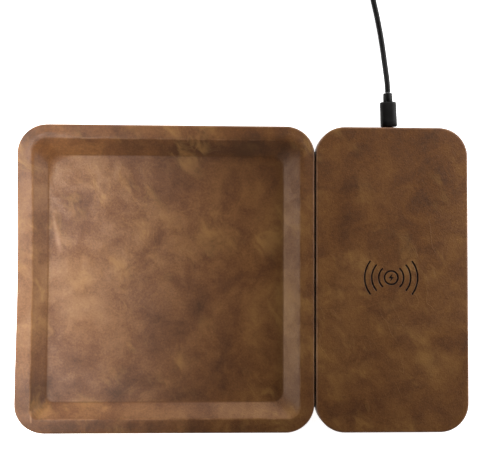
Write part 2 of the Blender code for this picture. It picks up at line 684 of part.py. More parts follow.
def build_socket(parent):
    """The socket's metal shell and the thin tongue that goes inside the plug."""
    middle = SOCKET_MOUTH_Y - SOCKET_DEPTH / 2
    outline = rounded_rectangle(SOCKET_WIDTH, SOCKET_HEIGHT, 0.9 * MM, 3)
    socket = flat_outline("socket_shell", [outline], SOCKET_DEPTH, (PLUG_X, middle, PLUG_Z + 0.1 * MM),
                          True)
    place_part(socket, "socket_shell", "plug_steel", parent)
    bore = rounded_rectangle(SOCKET_WIDTH - 2 * SOCKET_WALL, SOCKET_HEIGHT - 2 * SOCKET_WALL,
                             0.6 * MM, 3)
    cutter = flat_outline("socket_bore", [bore], SOCKET_DEPTH,
                          (PLUG_X, middle + SOCKET_WALL, PLUG_Z + 0.1 * MM), True)
    boolean(socket, as_cutter(cutter, "socket_bore"))
    back = SOCKET_MOUTH_Y - SOCKET_DEPTH + SOCKET_WALL + GAP
    length = 4.2 * MM
    tongue = box("socket_tongue", (3.7 * MM, length, 0.6 * MM),
                 (PLUG_X, back + length / 2, PLUG_Z))
    place_part(tongue, "socket_tongue", "insert_white", parent)


def plug_shell_outline(shrink=0.0):
    """The small plug's shell seen from its end: flat top, lower corners cut off."""
    half_width = SHELL_WIDTH / 2 - shrink
    half_height = SHELL_HEIGHT / 2 - shrink
    cut = 0.75 * MM
    return [(half_width, half_height), (-half_width, half_height),
            (-half_width, -half_height + cut), (-half_width + cut, -half_height),
            (half_width - cut, -half_height), (half_width, -half_height + cut)]


def build_small_plug(parent):
    """The plug in the pad's back edge, a little askew in its socket as the cord pulls it."""
    axis = new_empty("plug_axis", (PLUG_X, PAD_BACK, PLUG_Z))
    axis.parent = parent
    axis.matrix_parent_inverse = Matrix.Translation(-parent.location)
    axis.rotation_euler = (0.0, 0.0, math.radians(PLUG_TILT))
    back = OVERMOULD_FRONT - GAP
    length = back - SHELL_TIP_Y
    shell_body = flat_outline("plug_shell", [plug_shell_outline()], length,
                              (PLUG_X, SHELL_TIP_Y + length / 2, PLUG_Z), True)
    place_part(shell_body, "plug_shell", "plug_steel", axis)
    bore_depth = 4.6 * MM
    bore = flat_outline("plug_bore", [plug_shell_outline(SHELL_WALL)], bore_depth,
                        (PLUG_X, SHELL_TIP_Y + bore_depth / 2 - 0.3 * MM, PLUG_Z), True)
    bore.parent = axis
    bore.matrix_parent_inverse = Matrix.Translation(-axis.location)
    boolean(shell_body, as_cutter(bore, "plug_bore"))

    middle = OVERMOULD_FRONT + OVERMOULD_LENGTH / 2
    body = box("plug_overmould", (OVERMOULD_WIDTH, OVERMOULD_LENGTH, OVERMOULD_HEIGHT),
               (PLUG_X, middle, PLUG_Z), 1.4 * MM, 3)
    place_part(body, "plug_overmould", "cord_black", axis)
    start = OVERMOULD_FRONT + OVERMOULD_LENGTH + GAP
    relief = neck("plug_strain_relief", NECK_RADIUS, NECK_LENGTH, (PLUG_X, start, PLUG_Z), 90.0)
    place_part(relief, "plug_strain_relief", "cord_black", axis)


def neck(name, radius, length, place, turn):
    """A plain, slightly tapered strain relief that lies along its lead."""
    mouth = CORD_RADIUS + 0.35 * MM
    narrow = radius - 0.15 * MM
    edge = 0.5 * MM
    profile = [(0.0, length), (mouth, length), (narrow - edge, length), (narrow, length - edge),
               (radius, edge / 2), (radius - edge / 2, 0.0), (0.0, 0.0)]
    obj = turned(name, profile, place, 16)
    obj.rotation_euler = (math.radians(-90.0), 0.0, math.radians(turn - 90.0))
    return obj


def build_cord(parent):
    cord = tube("cord", smooth_route(CORD_ROUTE, CORD_POINT_STEP), CORD_RADIUS)
    place_part(cord, "cord", "cord_black", parent)
    tail = tube("cord_tail", smooth_route(TAIL_ROUTE, CORD_POINT_STEP / 2), CORD_RADIUS)
    place_part(tail, "cord_tail", "cord_black", parent)
    outer = TURN_RADII[0] + CORD_RADIUS
    inner = TURN_RADII[-1] - CORD_RADIUS
    edge = 1.0 * MM
    profile = [(inner, HANK_HEIGHT - edge), (inner + edge, HANK_HEIGHT), (outer - edge, HANK_HEIGHT),
               (outer, HANK_HEIGHT - edge), (outer, edge), (outer - edge, 0.0), (inner + edge, 0.0),
               (inner, edge), (inner, HANK_HEIGHT - edge)]
    coil = turned("cord_coil", profile, (*COIL_CENTRE, 0.0), 48)
    place_part(coil, "cord_coil", "cord_black", parent)
    reach = math.sqrt(inner ** 2 - (TIE_WIDTH / 2) ** 2) - GAP
    window = outer + GAP - reach
    bundle_x = COIL_CENTRE[0] - reach - window / 2
    slot = box("tie_slot", (window + 4 * MM, TIE_WIDTH + 2 * GAP, 2 * (TIE_THICKNESS + GAP)),
               (bundle_x, COIL_CENTRE[1], 0.0))
    boolean(coil, as_cutter(slot, "tie_slot"))
    tie_outlines = [
        rounded_rectangle(window + 2 * TIE_THICKNESS, TIE_TOP + TIE_THICKNESS, 1.4 * MM, 4),
        rounded_rectangle(window, TIE_TOP - TIE_THICKNESS, 0.8 * MM, 4),
    ]
    tie = flat_outline("cord_tie", tie_outlines, TIE_WIDTH,
                       (bundle_x, COIL_CENTRE[1], (TIE_TOP + TIE_THICKNESS) / 2), True)
    place_part(tie, "cord_tie", "tie_black", parent)


def build_large_plug(parent):
    """The far end's plug, lying beside the coil and pointing along -X."""
    relief = neck("usb_strain_relief", NECK_RADIUS + 0.4 * MM, END_NECK_LENGTH,
                  (END_NECK_X - END_NECK_LENGTH, END_PLUG_Y, END_PLUG_Z), 0.0)
    place_part(relief, "usb_strain_relief", "cord_black", parent)
    start = END_NECK_X - END_NECK_LENGTH - GAP
    housing = box("usb_housing", (END_HOUSING_LENGTH, END_HOUSING_WIDTH, END_HOUSING_HEIGHT),
                  (start - END_HOUSING_LENGTH / 2, END_PLUG_Y, END_PLUG_Z), 1.2 * MM, 3)
    place_part(housing, "usb_housing", "cord_black", parent)
    mouth = start - END_HOUSING_LENGTH - GAP
    size = (END_SHELL_LENGTH, END_SHELL_WIDTH, END_SHELL_HEIGHT)
    metal = box("usb_shell", size, (mouth - END_SHELL_LENGTH / 2, END_PLUG_Y, END_PLUG_Z))
    place_part(metal, "usb_shell", "plug_steel", parent)
    depth = END_SHELL_LENGTH - 2.0 * MM
    bore = box("usb_bore", (depth + MM, END_SHELL_WIDTH - 2 * END_SHELL_WALL,
                            END_SHELL_HEIGHT - 2 * END_SHELL_WALL),
               (mouth - END_SHELL_LENGTH + depth / 2 - MM / 2, END_PLUG_Y, END_PLUG_Z))
    boolean(metal, as_cutter(bore, "usb_bore"))
    insert_length = depth - 1.2 * MM
    insert_height = 1.8 * MM
    insert = box("usb_insert", (insert_length, END_SHELL_WIDTH - 2 * END_SHELL_WALL - 2 * GAP,
                                insert_height),
                 (mouth - END_SHELL_LENGTH + depth - GAP - insert_length / 2, END_PLUG_Y,
                  END_PLUG_Z - END_SHELL_HEIGHT / 2 + END_SHELL_WALL + GAP + insert_height / 2))
    place_part(insert, "usb_insert", "insert_white", parent)


def build():
    tray = new_empty("tray_body", (TRAY_X, 0.0, 0.0))
    pad = new_empty("charging_pad_slide", (PAD_X, 0.0, 0.0))
    lead = new_empty("lead_unplug_slide", (PLUG_X, PAD_BACK, PLUG_Z))
    pad.parent = tray
    pad.matrix_parent_inverse = Matrix.Translation(-tray.location)
    lead.parent = pad
    lead.matrix_parent_inverse = Matrix.Translation(-pad.location)
    build_tray(tray)
    build_pad_case(pad)
    build_charging_coil(pad)
    build_board(pad)
    build_small_plug(lead)
    build_cord(lead)
    build_large_plug(lead)


build()
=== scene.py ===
"""The finished look of a leather desk set: a dished tray and a wireless charging pad side by
side, with the charging lead plugged into the pad's back edge and its spare length coiled.

The file is laid out as an add-on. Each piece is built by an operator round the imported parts, in
metres, with +X to the pad's side, +Y to the back and +Z up.
"""
import math

import bmesh
import bpy
import numpy as np
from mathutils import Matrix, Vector, noise


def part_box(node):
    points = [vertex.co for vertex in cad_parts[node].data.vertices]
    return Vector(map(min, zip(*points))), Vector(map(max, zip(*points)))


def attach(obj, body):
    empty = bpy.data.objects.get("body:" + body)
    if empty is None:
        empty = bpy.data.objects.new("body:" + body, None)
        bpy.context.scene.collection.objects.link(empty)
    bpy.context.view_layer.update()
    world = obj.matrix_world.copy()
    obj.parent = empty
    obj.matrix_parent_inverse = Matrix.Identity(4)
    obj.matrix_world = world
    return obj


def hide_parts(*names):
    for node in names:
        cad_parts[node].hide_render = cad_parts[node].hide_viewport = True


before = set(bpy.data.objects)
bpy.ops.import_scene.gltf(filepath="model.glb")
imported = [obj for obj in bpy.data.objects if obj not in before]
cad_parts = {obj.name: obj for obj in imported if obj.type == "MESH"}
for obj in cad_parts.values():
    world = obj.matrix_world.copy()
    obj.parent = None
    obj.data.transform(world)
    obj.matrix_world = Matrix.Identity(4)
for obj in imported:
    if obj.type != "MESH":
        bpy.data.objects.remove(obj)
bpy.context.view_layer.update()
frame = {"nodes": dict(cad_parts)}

bl_info = {
    "name": "Leather Desk Set",
    "version": (1, 0, 0),
    "blender": (4, 5, 0),
    "location": "View3D > Sidebar > Desk Set",
    "description": "Builds a leather tray, charging pad and charging lead round their packed parts",
    "category": "Add Mesh",
}

MM = 0.001

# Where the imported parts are
TRAY_LOW, TRAY_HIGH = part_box("tray_leather")
PAD_LOW, PAD_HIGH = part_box("pad_leather")
TRAY_CENTRE = (TRAY_LOW.x + TRAY_HIGH.x) / 2
PAD_CENTRE = (PAD_LOW.x + PAD_HIGH.x) / 2
HALF_DEPTH = TRAY_HIGH.y
WRAP_BOTTOM = TRAY_LOW.z
TOP = TRAY_HIGH.z
SOCKET_LOW, SOCKET_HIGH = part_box("socket_shell")
SOCKET_X = (SOCKET_LOW.x + SOCKET_HIGH.x) / 2
PLUG_LOW, PLUG_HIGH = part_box("plug_overmould")
PLUG_Z = (PLUG_LOW.z + PLUG_HIGH.z) / 2

# Leather skins: outline, edges and the tray's dish
LEATHER = 1.0 * MM
CORNER_RADIUS = 19.9 * MM
WRAP_WIDTH = 4.5 * MM
BOTTOM_ROUND = 1.3 * MM
TOP_ROUND = 1.5 * MM
RIM_WIDTH = 9.9 * MM
SLOPE_WIDTH = 10.4 * MM
DISH_REACH = RIM_WIDTH + SLOPE_WIDTH
DISH_FLOOR = 7.5 * MM
FLOOR_BORDER = 12.0 * MM
RIM_ROUND = 2.2 * MM
FOOT_ROUND = 2.6 * MM
RIM_FALL = 0.8 * MM
FLOOR_SHIFT = -0.75 * MM
LEFT_RIM_SHIFT = 0.7 * MM
# Corner radii, anticlockwise from the back right one
RIM_CORNERS = (11.0 * MM, 10.0 * MM, 5.0 * MM, 8.6 * MM)
FLOOR_CORNERS = (8.4 * MM, 8.0 * MM, 5.0 * MM, 7.6 * MM)
# The dish's two back corners are pressed softly: side and strength, then how far that reaches
SOFT_CORNERS = ((1, 0.8), (-1, 1.0))
SOFT_RADIUS = 15.0 * MM
SOFT_INSET = 4.0 * MM
SOFT_CENTRE = RIM_WIDTH + 0.5 * SLOPE_WIDTH + 2.0 * MM
SOFT_START = 6.9 * MM
SOFT_WIDTH = 18.8 * MM
# The tray's left side swells towards its ends: how much, from which Y to which Y
SWELLS = ((1.25 * MM, 5.0 * MM, -100.0 * MM), (0.9 * MM, 13.0 * MM, 83.0 * MM))
SWELL_REACH = 34.0 * MM
# Waves in the leather: each one's size and seed, and from what height up they are
TRAY_WAVES = ((55.0 * MM, 3.1), (17.0 * MM, 7.7))
PAD_WAVES = ((60.0 * MM, 5.2), (19.0 * MM, 2.4))
SIDE_WAVE = (24.0 * MM, 1.3)
SIDE_WAVE_SHARE = 0.7
SIDE_WAVE_WIDTH = 2.0 * MM
PAD_WAVE_SHARE = 0.7
WAVE_BOTTOM = 4.0 * MM
WAVE_EASE = 3.0 * MM
# Pleats underneath at the corners
PLEAT_DEPTH = 0.35 * MM
PLEAT_TURNS = 28.0
PLEAT_RISE = 0.3 * MM
PLEAT_SIDE = 3.0 * MM
PLEAT_INSET = 2.5 * MM
# Points along X, along Y and round a corner, and the longest step between rings
TRAY_STEPS, TRAY_RING_STEP = (72, 72, 24), 1.3 * MM
PAD_STEPS, PAD_RING_STEP = (204, 119, 16), 0.8 * MM
LINING_STEPS = (40, 40, 16)

# Paler and darker patches on the tray's leather, most of them painted light and shade: lighter on
# the left side and on the right and front slopes, which face the lamps, and darker on the front rim,
# the front of the floor, the left slope's front and the back slope, which face away from them; the
# rest are the hide's own tone. Each: centre X and Y, reach X and Y in mm, then how much
PAINTED_LIGHT_AND_TONE_PATCHES = (
    (-62.0, -12.0, 38.0, 52.0, 0.060), (-96.0, -30.0, 12.0, 55.0, 0.060),
    (85.0, -25.0, 7.0, 70.0, 0.150), (20.0, -91.0, 80.0, 6.0, 0.080),
    (-60.0, -101.0, 55.0, 5.5, -0.100), (40.0, -101.0, 55.0, 5.5, -0.020),
    (-97.0, 75.0, 8.0, 28.0, -0.060), (0.0, 70.0, 70.0, 14.0, -0.015),
    (-70.0, 98.0, 45.0, 9.0, -0.045), (15.0, 90.0, 85.0, 6.5, -0.110),
    (-35.0, -78.0, 65.0, 13.0, -0.060), (-87.0, -72.0, 6.0, 26.0, -0.090),
)
# Rubbed lines on the tray's hide: start, end, width and strength
RUBS = (
    ((-0.1316, 0.0420), (-0.1302, 0.0340), 1.6 * MM, 0.22),
    ((-0.1312, 0.0380), (-0.1280, 0.0240), 2.2 * MM, 0.24),
    ((-0.1296, 0.0300), (-0.1272, 0.0190), 3.4 * MM, 0.22),
    ((-0.1446, -0.0900), (-0.1443, -0.0970), 1.1 * MM, 0.40),
)

# Charging sign: its lines and the lip and burn along them, its ring, its arcs' radii and half
# angles in degrees, its bolt, and the patch of finer leather that it is pressed into
SIGN_CENTRE = (SOCKET_X - 0.25 * MM, 0.9 * MM)
SIGN_LINE = 1.0 * MM
SIGN_DEPTH = 0.45 * MM
SIGN_WALL = 0.14 * MM
SIGN_LIP = (0.05 * MM, 0.32 * MM, 0.17 * MM)
SIGN_BURN = (0.20 * MM, 0.22 * MM)
SIGN_RING = 4.65 * MM
SIGN_ARCS = ((8.65 * MM, 45.0), (13.5 * MM, 39.5), (18.4 * MM, 37.5))
BOLT_HALF = (1.9 * MM, 2.75 * MM)
SIGN_PATCH = (22.0 * MM, 13.5 * MM)
SIGN_RINGS = 26

# The socket's opening in the pad's leather: half its width and height, and how square it is
OPENING = (4.5 * MM, 2.0 * MM, 4.0)

# Small plug: its tilt in the socket, then rows of how far along it is in mm, its shares of the
# full half width and half height, and its squareness, then its neck and its sleeve
PLUG_TILT = math.radians(2.0)
PLUG_FRONT = 1.4 * MM
PLUG_HALF = (5.8 * MM, 3.5 * MM)
PLUG_ROWS = (
    (0.60, 0.50, 0.45, 2.6), (0.55, 0.74, 0.64, 2.6), (0.15, 0.80, 0.72, 2.6),
    (0.00, 0.86, 0.80, 2.6), (0.06, 0.94, 0.91, 2.7), (0.35, 1.00, 0.98, 2.8),
    (4.00, 1.00, 1.00, 2.8), (9.00, 0.98, 0.985, 2.8), (14.5, 0.985, 0.99, 2.8),
    (16.5, 0.98, 0.98, 2.8), (16.95, 0.965, 0.95, 2.7), (17.22, 0.925, 0.88, 2.6),
    (17.3, 0.84, 0.78, 2.4),
)
NECK_LENGTH = 6.0 * MM
NECK_RADIUS = 3.3 * MM
NECK_START = 19.0 * MM
NECK_GAP = 0.25 * MM
SMALL_SLEEVE_HALF = (3.425 * MM, 0.9 * MM)
SMALL_SLEEVE_CUT = 0.75 * MM
SMALL_SLEEVE_START = 1.1 * MM
SMALL_SLEEVE_WALL = 0.25 * MM
SMALL_SLEEVE_LENGTH = 6.1 * MM
SMALL_SLEEVE_DEPTH = 4.6 * MM

# Large plug: its length and the same kind of rows behind and before its grip, in mm, then the
# grip's ribs, its sleeve with the windows, and its contacts' places and reaches in mm
LARGE_PLUG_LENGTH = 27.0
LARGE_PLUG_BACK = ((0.0, 0.78, 0.72, 3.4), (0.10, 0.88, 0.83, 3.6), (0.35, 0.96, 0.94, 3.9),
                   (0.8, 0.99, 0.985, 4.2), (1.5, 1.0, 1.0, 4.4))
LARGE_PLUG_FRONT = ((25.6, 1.0, 1.0, 4.4), (26.3, 0.985, 0.98, 4.2), (26.75, 0.95, 0.92, 3.9),
                    (27.0, 0.88, 0.82, 3.6))
GRIP_START = 6.0
GRIP_STEP = 0.5
GRIP_STEPS = 32
RIB_STEPS = 4
RIB_DEPTH = 0.030
LARGE_SLEEVE_CORNER = 0.6 * MM
LARGE_SLEEVE_WALL = 0.4 * MM
LARGE_SLEEVE_DEPTH = 16.6 * MM
WINDOW_HALF = (1.2 * MM, 1.2 * MM, 0.7 * MM)
WINDOW_X = 7.4 * MM
WINDOW_Y = 2.9 * MM
CONTACTS = ((-3.5, 12.0), (-1.0, 10.6), (1.0, 10.6), (3.5, 12.0))
CONTACT_START = 0.8 * MM
CONTACT_HALF = 0.55 * MM
CONTACT_RISE = 0.10 * MM
CONTACT_SINK = 0.02 * MM

# Lead: the points that its free run passes through, then the coil, then its far end
LEAD_RUN = (
    (100.30, 130.9, 8.50), (100.20, 134.0, 8.40), (99.90, 140.0, 7.45), (99.35, 147.5, 5.60),
    (98.80, 154.5, 3.85), (98.00, 162.5, 2.70), (96.40, 173.5, 2.08), (94.05, 186.0, 2.00),
    (91.50, 197.5, 2.00), (89.10, 209.0, 2.00), (87.00, 220.6, 2.00), (85.45, 228.2, 2.00),
)
LEAD_TAIL = (
    (52.0, 255.5, 5.85), (47.0, 255.5, 5.50), (42.0, 255.5, 4.95), (39.0, 255.5, 4.35),
    (35.5, 255.5, 4.00), (31.5, 255.5, 4.00), (27.3, 255.5, 4.10),
)
COIL_CENTRE = (58.0 * MM, 229.0 * MM)
TURN_RADII = (26.5, 22.5, 18.5, 14.5)
COIL_START = 14.0
COIL_TURNS = 8.0 + 76.0 / 360.0
COIL_POINTS = 24
LAYER_HEIGHTS = (2.00, 5.95)
# The share of a turn in which the lead steps to the next turn's radius or height
STEP_SHARE = 0.2

# Tie: its angle on the coil, the hump that the turns make in it, and its strap
TIE_ANGLE = 180.0
TIE_LIFT = 0.62
HUMP_HALF = 38.0
HUMP_EASE = 20.0
STRAP_THICK = 0.55 * MM
STRAP_ROOM = 0.6 * MM
STRAP_ROUND = 1.3 * MM
STRAP_STEPS = (24, 12, 10)
LAP = 24
LAP_EASE = 8
LAP_RISE = 0.62 * MM
TIP = 7

# Feet: (share of the radius, height) rows from the tread's middle out to the side, and how much
# the top's edge is eased
FOOT_ROWS = ((0.34, 0.16 * MM), (0.47, 0.14 * MM), (0.52, 0.05 * MM), (0.56, 0.0), (0.86, 0.0),
             (0.93, 0.05 * MM), (0.98, 0.18 * MM), (1.0, 0.40 * MM))
FOOT_EASE = 0.1 * MM

# Linings: how much smaller their corners' radius is than the leather's, their thickness, and
# the (inset, drop) rows of their edge
LINING_INSET = 2.6 * MM
LINING = 0.30 * MM
LINING_EDGE = ((0.0, 0.30 * MM), (0.25 * MM, 0.12 * MM), (0.8 * MM, 0.0))

# Charging coil: its bore, its turns' spacing in wire radii, how much of its room the wire fills
# and the points in a turn
BORE_RADIUS = 10.5 * MM
WIRE_PITCH = 2.15
WIRE_FILL = 0.96
WIRE_POINTS = 40

# Camera
CAMERA_PLACE = (-38.1 * MM, 6.6 * MM, 700.9 * MM)
CAMERA_TURN = (2.25, -2.86, 0.19)
CAMERA_LENS = 75.2

# Stage: each light's place, what it points at, its size and how wide it spreads
LIGHTS = (
    ("side_light", (-0.26, 0.0, 0.10), (-0.10, 0.0, 0.0), (0.40, 0.12), 180.0),
    ("high_light", (-0.28, -0.015, 0.55), (-0.18, -0.02, 0.0), (0.40, 0.20), 25.0),
    ("back_light", (-0.06, 0.42, 0.10), (-0.04, 0.0, 0.02), (0.60, 0.14), 180.0),
    ("right_light", (0.50, 0.12, 0.18), (0.05, 0.02, 0.02), (0.50, 0.25), 180.0),
    ("corner_light", (0.40, 0.35, 0.30), (0.08, 0.0, 0.02), (0.40, 0.30), 180.0),
)
BACKDROP_RADIUS = 6.0
BACKDROP_HEIGHT = 2.2
ROOM_GLOW = 0.02


# ---------------------------------------------------------------- settings

def colour_property(name, description, default):
    return bpy.props.FloatVectorProperty(name=name, description=description, default=default,
                                         subtype="COLOR", size=3, min=0.0, max=1.0)


def length_property(name, description, default):
    return bpy.props.FloatProperty(name=name, description=description, default=default,
                                   unit="LENGTH", min=0.0)


def power_property(name, description, default):
    return bpy.props.FloatProperty(name=name, description=description, default=default, min=0.0)


class LeatherSettings(bpy.types.PropertyGroup):
    # dark is also the colour of the painted shade in the leather's inward rounds
    dark: colour_property("Dark brown", "The leather's darkest patches", (0.0700, 0.0262, 0.0082))
    brown: colour_property("Brown", "The leather's main colour", (0.1290, 0.0495, 0.0148))
    ochre: colour_property("Ochre", "Where the wax has pulled up", (0.2050, 0.0930, 0.0295))
    golden: colour_property("Golden", "The palest golden patches", (0.2950, 0.1510, 0.0455))
    worn: colour_property("Worn edge", "The pale colour along rubbed edges", (0.36, 0.195, 0.100))
    burnt: colour_property("Pressed sign", "The burnt lines of the sign", (0.0065, 0.0028, 0.0016))
    wave: length_property("Wave", "How far the leather rises and dips", 0.14 * MM)


class LeadSettings(bpy.types.PropertyGroup):
    diameter: length_property("Diameter", "Diameter of the lead's jacket", 3.9 * MM)
    jacket: colour_property("Jacket", "Colour of the jacket and the plugs",
                            (0.0032, 0.0028, 0.0026))
    tie: colour_property("Tie", "Colour of the tie", (0.022, 0.022, 0.023))


class StageSettings(bpy.types.PropertyGroup):
    floor: colour_property("Floor", "Colour of the floor", (0.90, 0.90, 0.90))
    floor_glow: power_property("Floor glow", "Light of the floor's own", 0.93)
    wall_glow: power_property("Wall glow", "Light of the far wall's own", 0.22)
    side_light: power_property("Side light", "Power of the low light on the tray's side", 0.63)
    high_light: power_property("High light", "Power of the narrow light over that side", 0.28)
    back_light: power_property("Back light", "Power of the soft light at the back", 1.13)
    right_light: power_property("Right light", "Power of the soft light on the pad's side", 2.30)
    corner_light: power_property("Corner light", "Power of the light behind the pad", 1.08)


# ---------------------------------------------------------------- finishes

class Finish:
    """A Principled material whose nodes are added one at a time."""

    def __init__(self, name, **sockets):
        self.material = bpy.data.materials.new(name)
        self.material.use_nodes = True
        self.tree = self.material.node_tree
        self.shader = self.tree.nodes["Principled BSDF"]
        for socket, value in sockets.items():
            self.shader.inputs[socket.replace("_", " ")].default_value = value
        self.place = self.add("ShaderNodeTexCoord").outputs["Object"]

    def add(self, kind, **inputs):
        node = self.tree.nodes.new(kind)
        for name, value in inputs.items():
            self.feed(node.inputs[name.replace("_", " ")], value)
        return node

    def feed(self, socket, value):
        if isinstance(value, bpy.types.NodeSocket):
            self.tree.links.new(value, socket)
        elif socket.type == "RGBA" and len(value) == 3:
            socket.default_value = (*value, 1.0)
        else:
            socket.default_value = value

    def noise(self, size, detail=2.0, roughness=0.5, distortion=0.0, place=None):
        """Noise whose features are about that size, in metres."""
        node = self.add("ShaderNodeTexNoise", Vector=place or self.place, Scale=1.0 / size,
                        Detail=detail, Roughness=roughness, Distortion=distortion)
        return node.outputs["Fac"]

    def drifted(self, size, reach):
        """The place, pushed about by a noise of that size, so that patterns don't look regular."""
        push = self.add("ShaderNodeTexNoise", Vector=self.place, Scale=1.0 / size, Detail=2.0)
        centred = self.vector("SUBTRACT", push.outputs["Color"], (0.5, 0.5, 0.5))
        return self.vector("ADD", self.place, self.vector("SCALE", centred, scale=reach))

    def stretched(self, factors, turn=0.0, place=None):
        """The place, drawn out by those factors along axes turned about the upright one."""
        node = self.add("ShaderNodeMapping", Vector=place or self.place)
        node.vector_type = "TEXTURE"
        node.inputs["Scale"].default_value = factors
        node.inputs["Rotation"].default_value = (0.0, 0.0, turn)
        return node.outputs["Vector"]

    def cells(self, size, place=None, randomness=1.0):
        """The distance to the nearest of many cells' middles, about that far apart."""
        node = self.add("ShaderNodeTexVoronoi", Vector=place or self.place, Scale=1.0 / size,
                        Randomness=randomness)
        return node.outputs["Distance"]

    def vector(self, operation, first, second=None, scale=None):
        node = self.tree.nodes.new("ShaderNodeVectorMath")
        node.operation = operation
        self.feed(node.inputs[0], first)
        if second is not None:
            self.feed(node.inputs[1], second)
        if scale is not None:
            self.feed(node.inputs["Scale"], scale)
        return node.outputs["Vector"]

    def sums(self, operation, first, second=0.0, third=None):
        node = self.tree.nodes.new("ShaderNodeMath")
        node.operation = operation
        values = (first, second) if third is None else (first, second, third)
        for socket, value in zip(node.inputs, values):
            self.feed(socket, value)
        return node.outputs[0]

    def measured(self, operation, first, second=(0.0, 0.0, 0.0)):
        """A number worked out from vectors, such as a length or a dot product."""
        node = self.tree.nodes.new("ShaderNodeVectorMath")
        node.operation = operation
        self.feed(node.inputs[0], first)
        self.feed(node.inputs[1], second)
        return node.outputs["Value"]

    def distance_to(self, start, end):
        """The distance, seen from above, to a line from start to end."""
        run = (end[0] - start[0], end[1] - start[1], 0.0)
        flat = self.vector("MULTIPLY", self.place, (1.0, 1.0, 0.0))
        away = self.vector("SUBTRACT", flat, (*start, 0.0))
        share = self.sums("DIVIDE", self.measured("DOT_PRODUCT", away, run),
                          run[0] ** 2 + run[1] ** 2)
        share.node.use_clamp = True
        nearest = self.vector("SUBTRACT", away, self.vector("SCALE", run, scale=share))
        return self.measured("LENGTH", nearest)

    def spread(self, value, low, high, start=0.0, end=1.0):
        """The value between low and high, eased and spread from start to end."""
        node = self.add("ShaderNodeMapRange", Value=value)
        node.interpolation_type = "SMOOTHSTEP"
        for name, number in (("From Min", low), ("From Max", high), ("To Min", start),
                             ("To Max", end)):
            node.inputs[name].default_value = number
        return node.outputs["Result"]

    def attribute(self, name):
        node = self.tree.nodes.new("ShaderNodeAttribute")
        node.attribute_name = name
        return node.outputs["Fac"]

    def ramp(self, value, stops):
        node = self.add("ShaderNodeValToRGB", Fac=value)
        elements = node.color_ramp.elements
        while len(elements) < len(stops):
            elements.new(0.5)
        for element, (place, colour) in zip(elements, stops):
            element.position = place
            element.color = (*colour, 1.0)
        return node.outputs["Color"]

    def mix(self, amount, first, second):
        node = self.tree.nodes.new("ShaderNodeMix")
        node.data_type = "RGBA"
        self.feed(node.inputs["Factor"], amount)
        self.feed(node.inputs[6], first)
        self.feed(node.inputs[7], second)
        return node.outputs[2]

    def bump(self, height, distance, strength, under=None):
        node = self.add("ShaderNodeBump", Height=height, Distance=distance, Strength=strength)
        if under is not None:
            self.feed(node.inputs["Normal"], under)
        return node.outputs["Normal"]

    def paint(self, colour, roughness, normal):
        """Join the worked-out colour, roughness and normal to the shader."""
        for name, value in (("Base Color", colour), ("Roughness", roughness), ("Normal", normal)):
            self.feed(self.shader.inputs[name], value)
        return self.material


def scaled(colour, share):
    """A lighter or darker shade of a colour."""
    return tuple(share * value for value in colour)


def streaks(finish, size, turn, width, place):
    """Soft broken streaks, drawn out along one direction."""
    field = finish.noise(size, 2.0, 0.5, place=finish.stretched((1.0, 3.4, 1.0), turn, place))
    off_line = finish.sums("ABSOLUTE", finish.sums("SUBTRACT", field, 0.5))
    patchy = finish.spread(finish.noise(2.6 * size, 2.0, 0.5, place=place), 0.53, 0.66)
    return finish.sums("MULTIPLY", finish.spread(off_line, 0.0, width, 1.0, 0.0), patchy)


